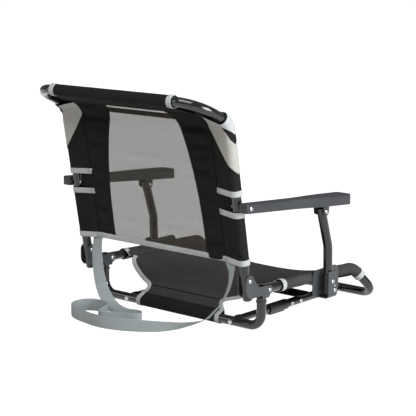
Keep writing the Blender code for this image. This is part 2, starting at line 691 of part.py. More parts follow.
# Armrests: moulded shells, open below, with two ears for the post
ARM_REAR_Y = ARM_PIVOT[0] - ARM_REAR
ARM_LENGTH = ARM_TIP_Y - ARM_REAR_Y


def arm_half(along):
    """Half width of the armrest at a distance from its rear end: a smooth widening."""
    t = min(1.0, max(0.0, (along - ARM_WIDEN_FROM) / (ARM_WIDEN_TO - ARM_WIDEN_FROM)))
    return (ARM_REAR_W + (ARM_FRONT_W - ARM_REAR_W) * t * t * (3 - 2 * t)) / 2


def arm_axis(y):
    """Distance of the armrest's middle line from the middle plane: it runs out to the post."""
    t = min(1.0, (y - ARM_PIVOT[0]) / (POST_TOP[0] - ARM_PIVOT[0]))
    return ARM_REAR_X + (POST_X - ARM_REAR_X) * t


def arm_top(y):
    return ARM_TOP_REAR_Z + (ARM_TOP_FRONT_Z - ARM_TOP_REAR_Z) * (y - ARM_REAR_Y) / ARM_LENGTH


def arm_bottom(y):
    return arm_top(y) - ARM_REAR_H - (ARM_FRONT_H - ARM_REAR_H) * (y - ARM_REAR_Y) / ARM_LENGTH


def arm_plan(inset):
    """Plan outline (X of the right arm, Y), inset by a wall, rounded at both ends."""
    side_points = []
    rear_r = ARM_REAR_ROUND
    tip_r = ARM_TIP_ROUND
    for degrees in (-90, -60, -30, 0):
        angle = math.radians(degrees)
        side_points.append((arm_half(0) - rear_r + (rear_r - inset) * math.cos(angle),
                            ARM_REAR_Y + rear_r + (rear_r - inset) * math.sin(angle)))
    steps = 7
    for i in range(steps + 1):
        along = ARM_WIDEN_FROM + (ARM_WIDEN_TO - ARM_WIDEN_FROM) * i / steps
        side_points.append((arm_half(along) - inset, ARM_REAR_Y + along))
    for degrees in (0, 22.5, 45, 67.5, 90):
        angle = math.radians(degrees)
        side_points.append((arm_half(ARM_LENGTH) - tip_r + (tip_r - inset) * math.cos(angle),
                            ARM_TIP_Y - tip_r + (tip_r - inset) * math.sin(angle)))
    outer = [(arm_axis(y) + dx, y) for dx, y in side_points]
    inner = [(arm_axis(y) - dx, y) for dx, y in reversed(side_points)]
    return outer + inner


def arm_block(bm, side, inset, bottom_of, top_of):
    outline = arm_plan(inset)
    low = [bm.verts.new((side * x, y, bottom_of(y))) for x, y in outline]
    high = [bm.verts.new((side * x, y, top_of(y))) for x, y in outline]
    bm.faces.new(low)
    bm.faces.new(high)
    skin(bm, low, high)


for name, side in SIDES:
    x = side * POST_X
    bm = bmesh.new()
    arm_block(bm, side, 0, arm_bottom, arm_top)
    arm = finish(f"armrest_{name}", bm, ARM_PLASTIC, arms[name])
    bm = bmesh.new()
    arm_block(bm, side, ARM_WALL, lambda y: arm_bottom(y) - ARM_WALL, lambda y: arm_top(y) - ARM_WALL)
    hollow = guide(finish(f"arm_hollow_{name}", bm, ARM_PLASTIC, root))
    cut(arm, hollow)
    y, z = POST_TOP
    roof = [(y + EAR_R, arm_top(y + EAR_R) - ARM_WALL / 2), (y - EAR_R, arm_top(y - EAR_R) - ARM_WALL / 2)]
    for where, ear_x in (("inner", -(TUBE_R + FIT)), ("outer", TUBE_R + FIT)):
        bm = bmesh.new()
        thickness = math.copysign(EAR_T, ear_x)
        plate(bm, arc(POST_TOP, EAR_R, 180, 360, 8) + roof, x + ear_x, x + ear_x + thickness)
        ear = guide(finish(f"arm_ear_{where}_{name}", bm, ARM_PLASTIC, root))
        cut(arm, ear, operation="UNION")
    cut(arm, arm_holes, top_holes)
    bm = bmesh.new()
    round_bar(bm, at_x(side * (HALF_W + TUBE_R + FIT), ARM_PIVOT),
              at_x(side * (HALF_W + TUBE_R + FIT + ARM_SPACER_T), ARM_PIVOT), ARM_SPACER_R)
    cut(finish(f"arm_spacer_{name}", bm, BLACK_PLASTIC, back), arm_holes)

# Back sling: sleeves on the uprights and the top bar, side panels and a see-through middle
arm_at = UPRIGHT_TAIL + (Vector(ARM_PIVOT) - Vector(BACK_PIVOT)).length
sling_from = UPRIGHT_TAIL + BACK_BOTTOM_UP


def back_path(x):
    return fillet_path([at_x(x, UPRIGHT_END), at_x(x, KNEE), at_x(x, TOP_BAR)], [KNEE_BEND])


CORNER_CLEAR = TOP_CORNER_BEND + SLING_CORNER_GAP
sling_to = path_length(back_path(0)) - CORNER_CLEAR
middle_rows = refine(path_part(back_path(0), sling_from, sling_to), BACK_ROWS)


def mesh_half(row):
    """Half width of the see-through panel: it narrows faster towards the top."""
    return MESH_BOTTOM_HALF + (MESH_TOP_HALF - MESH_BOTTOM_HALF) * (row / BACK_ROWS) ** MESH_TAPER


cloth_sheet("back_mesh_panel", [[Vector((k * mesh_half(i), p.y, p.z)) for k in (-1, -0.5, 0, 0.5, 1)]
                                for i, p in enumerate(middle_rows)], MESH_CLOTH, back)
for name, side in SIDES:
    outer_x = HALF_W - BACK_SEAM_IN - SEAM_GAP
    panel_rows = []
    for i, p in enumerate(middle_rows):
        inner_x = mesh_half(i) + SEAM_GAP
        across = (outer_x, (outer_x + inner_x) / 2, inner_x)
        panel_rows.append([Vector((side * x, p.y, p.z)) for x in across])
    cloth_sheet(f"back_side_panel_{name}", panel_rows, BLACK_CLOTH, back)
    line = back_path(side * HALF_W)
    sleeve(f"back_sleeve_lower_{name}", path_part(line, sling_from, arm_at - ARM_GAP_DOWN), INWARD[side],
           BACK_SEAM_IN, BLACK_CLOTH, back)
    upper = path_part(line, arm_at + ARM_GAP_UP, sling_to - SLEEVE_TOP_DOWN)
    sleeve(f"back_sleeve_upper_{name}", upper, INWARD[side], BACK_SEAM_IN, BLACK_CLOTH, back)
curl = (at_x(0, KNEE) - at_x(0, TOP_BAR)).normalized()
sleeve("back_top_sleeve", [at_x(-TOP_SLEEVE_HALF, TOP_BAR), at_x(TOP_SLEEVE_HALF, TOP_BAR)], curl,
       CORNER_CLEAR - SEAM_GAP, BLACK_CLOTH, back)

# Seat sling: sleeves on the rails, a sagging panel, and a flap down to the rear floor bar
rail_line = fillet_path(front_corners[:3], [RAIL_BEND])
seat_from = SEAT_SLEEVE_Y - RAIL_REAR[0]
seat_to = path_length(rail_line) - (front_corners[2] - front_corners[1]).length + SEAT_LEG_DROP
seat_line = path_part(rail_line, seat_from, seat_to)
for name, side in SIDES:
    line = [Vector((side * p.x, p.y, p.z)) for p in seat_line]
    cover = sleeve(f"seat_sleeve_{name}", line, INWARD[side], SEAT_SEAM_IN, SEAT_CLOTH, root)
    cut(cover, bracket_holes)


def seat_sag(k):
    """Drop of the seat cloth at k, from -1 to 1 across the seat."""
    return SEAT_SAG * (1 - abs(k) ** SAG_POWER)


seat_rows = []
for point, across, normal in frames(refine(seat_line, SEAT_ROWS), INWARD[1]):
    edge = point + across * (SEAT_SEAM_IN + SEAM_GAP)
    seat_rows.append([Vector((k * edge.x, edge.y, edge.z - seat_sag(k)))
                      for k in (2 * i / SHEET_COLUMNS - 1 for i in range(SHEET_COLUMNS + 1))])
cloth_sheet("seat_panel", seat_rows, SEAT_CLOTH, root)
bar = Vector((0, 0, REAR_BAR_Z))
waist = Vector((0, FLAP_WAIST_Y, FLAP_WAIST_Z))
rise = (waist - bar).normalized()
bar_line = [bar - Vector((FLAP_HALF, 0, 0)), bar + Vector((FLAP_HALF, 0, 0))]
sleeve("seat_rear_sleeve", bar_line, rise, FLAP_TAIL, SEAT_CLOTH, root)


def flap_half(t):
    """Half width of the flap at t, from the seat down to the bar: it draws in to a waist."""
    if t < FLAP_WAIST_AT:
        drawn_in = (t / FLAP_WAIST_AT) ** FLAP_DRAW
        return FLAP_SEAT_HALF + (FLAP_WAIST_HALF - FLAP_SEAT_HALF) * drawn_in
    let_out = ((t - FLAP_WAIST_AT) / (1 - FLAP_WAIST_AT)) ** 2
    return FLAP_WAIST_HALF + (FLAP_HALF - FLAP_WAIST_HALF) * let_out


flap_rows = []
seat_edge = seat_rows[0][-1]
for i in range(FLAP_ROWS + 1):
    t = i / FLAP_ROWS
    half = flap_half(t)
    row = []
    for k in (2 * j / SHEET_COLUMNS - 1 for j in range(SHEET_COLUMNS + 1)):
        drop = seat_sag(k * half / seat_edge.x)
        across = Vector((k * half, 0, 0))
        top = across + Vector((0, seat_edge.y - SEAM_GAP, seat_edge.z - drop))
        foot = across + bar + rise * (FLAP_TAIL + SEAM_GAP)
        if t < FLAP_WAIST_AT:
            row.append(top.lerp(across + waist, t / FLAP_WAIST_AT))
        else:
            row.append(foot.lerp(across + waist, (1 - t) / (1 - FLAP_WAIST_AT)))
    flap_rows.append(row)
cloth_sheet("seat_rear_flap", flap_rows, SEAT_CLOTH, root)

# Carry strap: webbing from one end of the back sling's hem to the other, with a loop on the floor
FLOOR_EDGE_Z = STRAP_W / 2 + FIT
hem_y, hem_z = along_upright(BACK_BOTTOM_UP - 2 * SEAM_GAP)
STRAP_ROUTE = [
    ((-0.208, hem_y, hem_z), (1, 0, 0)),
    ((-0.208, hem_y - 0.003, hem_z - 0.020), (1, 0, 0)),
    ((-0.199, -0.077, 0.125), (1, 0, 0)),
    ((-0.187, -0.084, 0.085), (1, 0, 0)),
    ((-0.172, -0.087, 0.048), (0.9, -0.1, 0.3)),
    ((-0.148, -0.090, 0.025), (0.4, -0.2, 0.9)),
    ((-0.118, -0.094, FLOOR_EDGE_Z), (0, 0, 1)),
    ((-0.075, -0.099, FLOOR_EDGE_Z), (0, 0, 1)),
    ((-0.035, -0.104, FLOOR_EDGE_Z), (0, 0, 1)),
    ((-0.026, -0.112, FLOOR_EDGE_Z), (0, 0, 1)),
    ((-0.035, -0.120, FLOOR_EDGE_Z), (0, 0, 1)),
    ((-0.085, -0.119, FLOOR_EDGE_Z), (0, 0, 1)),
    ((-0.130, -0.113, FLOOR_EDGE_Z), (0, 0, 1)),
    ((-0.170, -0.111, FLOOR_EDGE_Z), (0, 0, 1)),
    ((-0.198, -0.126, FLOOR_EDGE_Z), (0, 0, 1)),
    ((-0.197, -0.163, FLOOR_EDGE_Z), (0, 0, 1)),
    ((-0.163, -0.188, FLOOR_EDGE_Z), (0, 0, 1)),
    ((-0.110, -0.206, FLOOR_EDGE_Z), (0, 0, 1)),
    ((-0.050, -0.212, FLOOR_EDGE_Z), (0, 0, 1)),
    ((0.020, -0.198, FLOOR_EDGE_Z), (0, 0, 1)),
    ((0.080, -0.160, FLOOR_EDGE_Z), (0, 0, 1)),
    ((0.118, -0.100, 0.018), (0.05, -0.1, 1)),
    ((0.142, -0.060, 0.034), (0.4, -0.45, 0.75)),
    ((0.168, -0.048, 0.062), (0.6, -0.7, 0.2)),
    ((0.195, -0.052, 0.104), (0.7, -0.65, 0)),
    ((0.210, -0.061, 0.140), (0.9, -0.3, 0)),
    ((0.212, hem_y + 0.001, hem_z - 0.014), (1, 0, 0)),
    ((0.212, hem_y, hem_z), (1, 0, 0)),
]


def smooth_curve(points, per_span):
    """Catmull-Rom curve through points, with even steps in each span."""
    result = []
    padded = [2 * points[0] - points[1], *points, 2 * points[-1] - points[-2]]
    for a, b, c, d in zip(padded, padded[1:], padded[2:], padded[3:]):
        for i in range(per_span):
            t = i / per_span
            result.append(0.5 * (2 * b + (c - a) * t + (2 * a - 5 * b + 4 * c - d) * t * t
                                 + (3 * b - a - 3 * c + d) * t ** 3))
    result.append(points[-1])
    return result


strap_line = smooth_curve([Vector(co) for co, _ in STRAP_ROUTE], 2)
strap_wide = smooth_curve([Vector(wide) for _, wide in STRAP_ROUTE], 2)
bm = bmesh.new()
loops = []
for i, (point, wide) in enumerate(zip(strap_line, strap_wide)):
    ahead = (strap_line[min(i + 1, len(strap_line) - 1)] - strap_line[max(i - 1, 0)]).normalized()
    across = (wide - ahead * wide.dot(ahead)).normalized() * (STRAP_W / 2)
    flat = ahead.cross(across).normalized() * (STRAP_T / 2)
    loops.append([bm.verts.new(point + offset) for offset in
                  (across + flat, flat - across, -across - flat, across - flat)])
for loop, after in zip(loops, loops[1:]):
    skin(bm, loop, after)
bm.faces.new(loops[0])
bm.faces.new(loops[-1])
finish("carry_strap", bm, WEBBING, root)
print(f"strap length {path_length(strap_line):.3f} m")

# The origin is the middle of the footprint, on the floor
bpy.context.view_layer.update()
shown = [obj for obj in bpy.data.objects if obj.type == "MESH" and not obj.hide_render]
depths = [(obj.matrix_world @ Vector(corner)).y for obj in shown for corner in obj.bound_box]
root.location.y = -(min(depths) + max(depths)) / 2
bpy.context.view_layer.update()
for empty in (back, *posts.values(), *arms.values()):
    print(empty.name, tuple(round(c, 5) for c in empty.matrix_world.translation))
print("root shift", round(root.location.y, 5))
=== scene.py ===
import json
import math

import bmesh
import bpy
import numpy as np
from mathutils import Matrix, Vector


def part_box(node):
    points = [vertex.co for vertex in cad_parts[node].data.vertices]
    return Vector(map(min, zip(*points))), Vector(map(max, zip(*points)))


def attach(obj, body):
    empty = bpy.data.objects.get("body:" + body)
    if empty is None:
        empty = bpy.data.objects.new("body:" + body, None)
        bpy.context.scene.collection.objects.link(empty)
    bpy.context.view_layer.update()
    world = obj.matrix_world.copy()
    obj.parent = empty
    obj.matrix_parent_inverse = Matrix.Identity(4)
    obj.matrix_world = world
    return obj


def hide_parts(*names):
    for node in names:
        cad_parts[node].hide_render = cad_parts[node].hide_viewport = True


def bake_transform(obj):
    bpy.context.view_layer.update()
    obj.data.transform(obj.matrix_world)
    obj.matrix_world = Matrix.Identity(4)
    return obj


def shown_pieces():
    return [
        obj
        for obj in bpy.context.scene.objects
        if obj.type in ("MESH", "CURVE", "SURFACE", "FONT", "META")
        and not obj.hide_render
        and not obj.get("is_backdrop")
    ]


# %% [markdown]
# # Dressing a low folding ground chair
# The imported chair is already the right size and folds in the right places, but it is made of plain
# twelve-sided tubes and flat sheets.  This lesson keeps it as a fixed frame and lays the finished
# surfaces over it: round glossy tube, pressed brackets, moulded arms, sewn slings and a loose strap.
# Every surface is worked out as a grid of points with numpy, so that each shape is one formula.

# %% Load the frame
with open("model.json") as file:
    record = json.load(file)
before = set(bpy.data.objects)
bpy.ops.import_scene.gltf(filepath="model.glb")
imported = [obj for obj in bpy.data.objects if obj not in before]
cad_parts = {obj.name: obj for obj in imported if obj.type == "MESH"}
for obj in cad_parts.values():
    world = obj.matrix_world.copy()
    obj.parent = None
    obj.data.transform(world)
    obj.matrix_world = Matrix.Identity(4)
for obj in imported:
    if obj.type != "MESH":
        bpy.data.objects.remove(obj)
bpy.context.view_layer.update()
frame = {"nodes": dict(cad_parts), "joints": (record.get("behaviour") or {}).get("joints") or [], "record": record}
joint_at = {j["name"]: np.array(j["pos_m"]) for j in frame["joints"]}
base_low, base_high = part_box("rear_base_tube")
REAR_BAR_Y = (base_low.y + base_high.y) / 2

# %% [markdown]
# ## Grids, paths and sweeps
# Nearly everything on the chair is a profile carried along a path: a ring makes a tube, a teardrop
# makes a sewn sleeve, a small oval makes an edge binding.  A handful of array functions is enough.
# Paths are arrays of points; a frame at each point gives the two directions of the profile's plane.

# %% Path helpers
ARC_STEP = math.radians(5)


def unit(vectors):
    """Each vector divided by its own length."""
    return vectors / np.linalg.norm(vectors, axis=-1, keepdims=True)


def fillet(corners, bends):
    """Straight runs joined by arcs: the arc's centre lies on the corner's bisector, at radius over
    the sine of half the angle, and the arc is centre + start cos(t) + (axis x start) sin(t)."""
    corners = np.asarray(corners, float)
    runs = [corners[:1]]
    for before, corner, after, radius in zip(corners, corners[1:], corners[2:], bends):
        back, ahead = unit(before - corner), unit(after - corner)
        half = math.acos(np.clip(back @ ahead, -1, 1)) / 2
        centre = corner + unit(back + ahead) * radius / math.sin(half)
        start = corner + back * radius / math.tan(half) - centre
        axis = unit(np.cross(ahead, back))
        turn = math.pi - 2 * half
        t = np.linspace(0, turn, max(3, round(turn / ARC_STEP)))[:, None]
        runs.append(centre + start * np.cos(t) + np.cross(axis, start) * np.sin(t))
    runs.append(corners[-1:])
    return np.concatenate(runs)


def travelled(path):
    """Length along the path up to each of its points."""
    return np.concatenate([[0], np.cumsum(np.linalg.norm(np.diff(path, axis=0), axis=1))])


def stretch(path, begin, end, count):
    """Evenly spaced points of a path between two lengths."""
    at = np.linspace(begin, end, count)
    done = travelled(path)
    return np.stack([np.interp(at, done, path[:, k]) for k in range(3)], axis=1)


def smooth_curve(points, per_span):
    """Catmull-Rom curve: in each span a cubic through its two points whose slopes are half the
    differences of their neighbours."""
    p = np.concatenate([2 * points[:1] - points[1:2], points, 2 * points[-1:] - points[-2:-1]])
    t = np.arange(per_span)[:, None, None] / per_span
    a, b, c, d = p[:-3], p[1:-2], p[2:-1], p[3:]
    spans = 0.5 * (2 * b + (c - a) * t + (2 * a - 5 * b + 4 * c - d) * t ** 2
                   + (3 * b - a - 3 * c + d) * t ** 3)
    return np.concatenate([spans.transpose(1, 0, 2).reshape(-1, 3), points[-1:]])


def sweep(profile, path, towards):
    """Profile carried along a path: point + across * a + normal * b, where across is the part of
    towards that is square to the path.  The profile is one for all points, or one for each."""
    ahead = unit(np.gradient(path, axis=0))
    towards = np.broadcast_to(np.asarray(towards, float), path.shape)
    across = unit(towards - ahead * (towards * ahead).sum(1, keepdims=True))
    normal = np.cross(ahead, across)
    profile = np.broadcast_to(profile, (len(path),) + profile.shape[-2:])
    return (path[:, None] + across[:, None] * profile[..., :1] + normal[:, None] * profile[..., 1:])


print("a right angle has", len(fillet([(0, 0, 0), (0, 0, 1), (0, 1, 1)], [0.1])), "path points")

# %% Grid to mesh
SHARP = math.radians(42)
MERGE, SPECK = 2e-6, 1e-7     # points this close are one, and faces this small go


def surface(name, grid, finish, wrap=False):
    """Mesh of a grid of points, with the metres across and along the grid as its UV map.  A wrapped
    grid joins its last column to its first; rows or columns that shrink to a point are merged."""
    rows, cols = grid.shape[:2]
    number = np.arange(rows * cols).reshape(rows, cols)
    spread = grid
    if wrap:
        number = np.concatenate([number, number[:, :1]], axis=1)
        spread = np.concatenate([grid, grid[:, :1]], axis=1)

    def metres(axis):
        """Length travelled along one direction of the grid."""
        steps = np.linalg.norm(np.diff(spread, axis=axis), axis=2)
        return np.insert(steps, 0, 0, axis=axis).cumsum(axis)

    u, v = metres(1), metres(0)
    u -= u[:, -1:] / 2
    v = np.broadcast_to(v.mean(1, keepdims=True), u.shape)

    def corners(values):
        """The values at the four corners of each face."""
        return np.stack([values[:-1, :-1], values[:-1, 1:], values[1:, 1:], values[1:, :-1]], axis=2)

    mesh = bpy.data.meshes.new(name)
    mesh.from_pydata(grid.reshape(-1, 3).tolist(), [], corners(number).reshape(-1, 4).tolist())
    uv = mesh.uv_layers.new(name="metres")
    uv.data.foreach_set("uv", corners(np.stack([u, v], axis=2)).reshape(-1).astype(np.float32))
    return place(name, mesh, finish)


def place(name, mesh, finish):
    """Object at the origin: doubles merged, normals outward, smooth but for its sharp edges."""
    bm = bmesh.new()
    bm.from_mesh(mesh)
    bmesh.ops.remove_doubles(bm, verts=bm.verts, dist=MERGE)
    bmesh.ops.dissolve_degenerate(bm, edges=bm.edges, dist=SPECK)
    bmesh.ops.recalc_face_normals(bm, faces=bm.faces)
    bm.to_mesh(mesh)
    bm.free()
    mesh.materials.clear()
    mesh.materials.append(finish)
    mesh.shade_smooth()
    mesh.set_sharp_from_angle(angle=SHARP)
    piece = bpy.data.objects.new(name, mesh)
    bpy.context.scene.collection.objects.link(piece)
    return piece


def join(name, pieces):
    """Several finished pieces as one object."""
    with bpy.context.temp_override(active_object=pieces[0], selected_editable_objects=pieces):
        bpy.ops.object.join()
    pieces[0].name = name
    return pieces[0]


def thicken(piece, thickness):
    """Give a sheet its thickness, half on each side."""
    wall = piece.modifiers.new("thickness", "SOLIDIFY")
    wall.thickness = thickness
    wall.offset = 0.0
    return piece


def dress(piece, body, slot, *nodes):
    """Put a piece on its body and let it stand for CAD nodes.  The slot is not used."""
    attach(piece, body)
    if nodes:
        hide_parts(*nodes)
    return piece


print("edges stay sharp over", round(math.degrees(SHARP)), "degrees")

# %% [markdown]
# ## Finishes
# The chair has five kinds of surface: stove-enamelled tube, satin pressed steel, moulded plastic,
# bright rivets and woven cloth.  Shared effects are node groups: a slow drift that keeps large areas
# from looking even, a fine grain for mouldings and paint, and a weave that follows a cloth's own map.

# %% Node groups
DRIFT_FINER, DRIFT_SHARES = 6.0, (0.7, 0.3)
OVER_UNDER, OPEN_GAIN = 0.25, 3.0     # height of a crossing, and how sharply the holes begin


def group(name, inputs, outputs):
    """Empty shader node group with named float inputs and outputs."""
    tree = bpy.data.node_groups.new(name, "ShaderNodeTree")
    for label, kind, value in inputs:
        socket = tree.interface.new_socket(label, in_out="INPUT", socket_type=kind)
        if value is not None:
            socket.default_value = value
    for label in outputs:
        tree.interface.new_socket(label, in_out="OUTPUT", socket_type="NodeSocketFloat")
    return tree, tree.nodes.new("NodeGroupInput"), tree.nodes.new("NodeGroupOutput")


def math_node(tree, operation, *values):
    """Math node whose inputs are numbers or other sockets."""
    node = tree.nodes.new("ShaderNodeMath")
    node.operation = operation
    for socket, value in zip(node.inputs, values):
        if isinstance(value, (int, float)):
            socket.default_value = value
        else:
            tree.links.new(value, socket)
    return node.outputs[0]


def noise_node(tree, vector, scale, detail):
    """Noise texture whose scale is a number or another socket."""
    node = tree.nodes.new("ShaderNodeTexNoise")
    node.inputs["Detail"].default_value = detail
    tree.links.new(vector, node.inputs["Vector"])
    if isinstance(scale, (int, float)):
        node.inputs["Scale"].default_value = scale
    else:
        tree.links.new(scale, node.inputs["Scale"])
    return node.outputs["Fac"]


def make_drift():
    """Slow mottle from 0 to 1: two noises of object coordinates, one six times finer."""
    tree, enter, leave = group("slow_drift", [("Scale", "NodeSocketFloat", 9.0)], ["Drift"])
    here = tree.nodes.new("ShaderNodeTexCoord").outputs["Object"]
    wide = noise_node(tree, here, enter.outputs["Scale"], 3)
    fine = noise_node(tree, here, math_node(tree, "MULTIPLY", enter.outputs["Scale"], DRIFT_FINER), 2)
    parts = [math_node(tree, "MULTIPLY", *pair) for pair in zip((wide, fine), DRIFT_SHARES)]
    tree.links.new(math_node(tree, "ADD", *parts), leave.inputs["Drift"])
    return tree


def make_grain():
    """Fine grain height: one noise of object coordinates at the grain's own scale."""
    tree, enter, leave = group("fine_grain", [("Scale", "NodeSocketFloat", 900.0)], ["Height"])
    here = tree.nodes.new("ShaderNodeTexCoord").outputs["Object"]
    tree.links.new(noise_node(tree, here, enter.outputs["Scale"], 2), leave.inputs["Height"])
    return tree


def make_weave():
    """Plain weave on the cloth's map: the higher of a warp and a weft thread, each the size of a
    half wave, taking turns from square to square.  Open is 1 in the holes between the threads."""
    tree, enter, leave = group("plain_weave", [("Warp", "NodeSocketFloat", 0.0012),
                                               ("Weft", "NodeSocketFloat", 0.0012)], ["Height", "Open"])
    here = tree.nodes.new("ShaderNodeUVMap")
    here.uv_map = "metres"
    split = tree.nodes.new("ShaderNodeSeparateXYZ")
    tree.links.new(here.outputs["UV"], split.inputs[0])
    counts = [math_node(tree, "DIVIDE", split.outputs[axis], enter.outputs[size])
              for axis, size in (("X", "Warp"), ("Y", "Weft"))]
    across, along = (math_node(tree, "MULTIPLY", count, math.pi) for count in counts)
    wave_x, wave_y = (math_node(tree, "SINE", angle) for angle in (across, along))
    warp, weft = (math_node(tree, "ABSOLUTE", wave) for wave in (wave_x, wave_y))
    thread = math_node(tree, "MAXIMUM", warp, weft)
    turn = math_node(tree, "MULTIPLY", math_node(tree, "MULTIPLY", wave_x, wave_y), OVER_UNDER)
    tree.links.new(math_node(tree, "ADD", thread, turn), leave.inputs["Height"])
    hole = math_node(tree, "SUBTRACT", 1.0, thread)
    tree.links.new(math_node(tree, "MULTIPLY", hole, OPEN_GAIN), leave.inputs["Open"])
    return tree


DRIFT, GRAIN, WEAVE = make_drift(), make_grain(), make_weave()
print("node groups:", [tree.name for tree in (DRIFT, GRAIN, WEAVE)])


# %% Material builder
def use_group(tree, which, **values):
    """Node that uses a group, with its inputs set."""
    node = tree.nodes.new("ShaderNodeGroup")
    node.node_tree = which
    for label, value in values.items():
        node.inputs[label].default_value = value
    return node


def ramp(tree, factor, low, high, start=0.3, stop=0.7):
    """Colour that goes from low to high as the factor goes from start to stop."""
    node = tree.nodes.new("ShaderNodeValToRGB")
    node.color_ramp.elements[0].position = start
    node.color_ramp.elements[0].color = (*low, 1)
    node.color_ramp.elements[1].position = stop
    node.color_ramp.elements[1].color = (*high, 1)
    tree.links.new(factor, node.inputs["Fac"])
    return node.outputs["Color"]


def spread(tree, factor, low, high):
    """Number that goes from low to high as the factor goes from 0.3 to 0.7."""
    node = tree.nodes.new("ShaderNodeMapRange")
    for label, value in (("From Min", 0.3), ("From Max", 0.7), ("To Min", low), ("To Max", high)):
        node.inputs[label].default_value = value
    tree.links.new(factor, node.inputs["Value"])
    return node.outputs["Result"]


def finish(name, dark, light, rough, drift=9.0, metallic=0.0, **plain):
    """Principled material: colour and roughness drift over the surface.  Returns it with its tree and
    shader, so that a grain or a weave can be added."""
    material = bpy.data.materials.new(name)
    material.use_nodes = True
    tree = material.node_tree
    shader = tree.nodes["Principled BSDF"]
    shader.inputs["Metallic"].default_value = metallic
    for label, value in plain.items():
        shader.inputs[label.replace("_", " ")].default_value = value
    mottle = use_group(tree, DRIFT, Scale=drift).outputs["Drift"]
    tree.links.new(ramp(tree, mottle, dark, light), shader.inputs["Base Color"])
    tree.links.new(spread(tree, mottle, *rough), shader.inputs["Roughness"])
    return material, tree, shader


def bump(tree, shader, height, distance, strength=1.0):
    """Bump of a height on a shader's normal."""
    node = tree.nodes.new("ShaderNodeBump")
    node.inputs["Distance"].default_value = distance
    node.inputs["Strength"].default_value = strength
    tree.links.new(height, node.inputs["Height"])
    tree.links.new(node.outputs["Normal"], shader.inputs["Normal"])


def hard_finish(name, dark, light, rough, grain, depth, **plain):
    """Paint or plastic: a drift with a fine grain."""
    material, tree, shader = finish(name, dark, light, rough, **plain)
    bump(tree, shader, use_group(tree, GRAIN, Scale=grain).outputs["Height"], depth)
    return material


CLOTH_ROUGH = (0.74, 0.92)
CLOTH_GLOSS = 0.06
CLOTH_RELIEF = 0.7
HOLLOW, CROWN = (0.55,) * 3, (1.0,) * 3     # shade between the threads, and on them


def cloth_finish(name, dark, light, warp, weft, depth):
    """Woven cloth: thread hollows are darker, and the threads stand up in the bump."""
    material, tree, shader = finish(name, dark, light, CLOTH_ROUGH, Specular_IOR_Level=CLOTH_GLOSS)
    threads = use_group(tree, WEAVE, Warp=warp, Weft=weft)
    bump(tree, shader, threads.outputs["Height"], depth, CLOTH_RELIEF)
    colour = shader.inputs["Base Color"].links[0].from_socket
    shade = tree.nodes.new("ShaderNodeMix")
    shade.data_type = "RGBA"
    shade.blend_type = "MULTIPLY"
    shade.inputs["Factor"].default_value = 1.0
    tree.links.new(colour, shade.inputs["A"])
    tree.links.new(ramp(tree, threads.outputs["Height"], HOLLOW, CROWN, 0.55, 1.0), shade.inputs["B"])
    tree.links.new(shade.outputs["Result"], shader.inputs["Base Color"])
    return material, tree, shader


print("cloth roughness", CLOTH_ROUGH)

# %% The chair's finishes
TUBE_COAT = hard_finish("tube_coat", (0.0055, 0.006, 0.007), (0.0095, 0.010, 0.0115), (0.06, 0.12),
                        grain=500, depth=1e-5, Specular_IOR_Level=0.5, Coat_Weight=0.3, Coat_Roughness=0.04)
BRACKET_PAINT = hard_finish("bracket_paint", (0.036, 0.038, 0.042), (0.050, 0.052, 0.057), (0.34, 0.46),
                            grain=800, depth=8e-5, Specular_IOR_Level=0.35)
RIVET_STEEL = hard_finish("rivet_steel", (0.44, 0.45, 0.46), (0.58, 0.59, 0.60), (0.16, 0.28), grain=1500,
                          depth=2e-5, metallic=1.0)
ARM_MOULDING = hard_finish("arm_moulding", (0.024, 0.0255, 0.030), (0.034, 0.036, 0.041), (0.34, 0.46),
                           grain=1100, depth=1.2e-4, Specular_IOR_Level=0.32)
BLACK_MOULDING = hard_finish("black_moulding", (0.006, 0.006, 0.007), (0.010, 0.010, 0.011), (0.30, 0.44),
                             grain=900, depth=1e-4)
BLACK_CANVAS = cloth_finish("black_canvas", (0.0125, 0.0122, 0.0118), (0.0205, 0.0200, 0.0193),
                            warp=0.0011, weft=0.0011, depth=1.5e-4)[0]
SEAT_MESH = cloth_finish("seat_mesh", (0.044, 0.042, 0.040), (0.068, 0.065, 0.062),
                         warp=0.0024, weft=0.0009, depth=2.5e-4)[0]
BINDING = cloth_finish("edge_binding", (0.43, 0.446, 0.448), (0.53, 0.547, 0.549),
                       warp=0.0030, weft=0.0009, depth=2e-4)[0]
CORNER_CLOTH = cloth_finish("corner_cloth", (0.405, 0.394, 0.366), (0.495, 0.482, 0.449),
                            warp=0.0010, weft=0.0010, depth=1e-4)[0]
WEBBING = cloth_finish("strap_webbing", (0.29, 0.32, 0.325), (0.37, 0.40, 0.41),
                       warp=0.0016, weft=0.0026, depth=3e-4)[0]
DARK_THREAD = hard_finish("dark_thread", (0.003,) * 3, (0.006,) * 3, (0.7, 0.9), grain=2000, depth=5e-5,
                          Specular_IOR_Level=0.1)
PALE_THREAD = hard_finish("pale_thread", (0.45, 0.46, 0.46), (0.55, 0.56, 0.56), (0.7, 0.9), grain=2000,
                          depth=5e-5)
print("finishes:", len(bpy.data.materials))

# %% [markdown]
# The middle of the back is an open net: what stands behind it shows through.  Real holes would take
# millions of faces, so the net is a thin sheet whose alpha is low in the holes between its threads.

# %% See-through net
NET_THREAD = 0.0015
NET_ALPHA = (0.71, 0.12)      # on the threads, and in the holes
BACK_NET, net_tree, net_shader = cloth_finish("back_net", (0.060, 0.053, 0.042), (0.074, 0.065, 0.052),
                                              warp=NET_THREAD, weft=NET_THREAD, depth=1e-4)
net_threads = use_group(net_tree, WEAVE, Warp=NET_THREAD, Weft=NET_THREAD)
net_tree.links.new(spread(net_tree, net_threads.outputs["Open"], *NET_ALPHA), net_shader.inputs["Alpha"])
print("net threads", NET_THREAD * 1000, "mm apart")

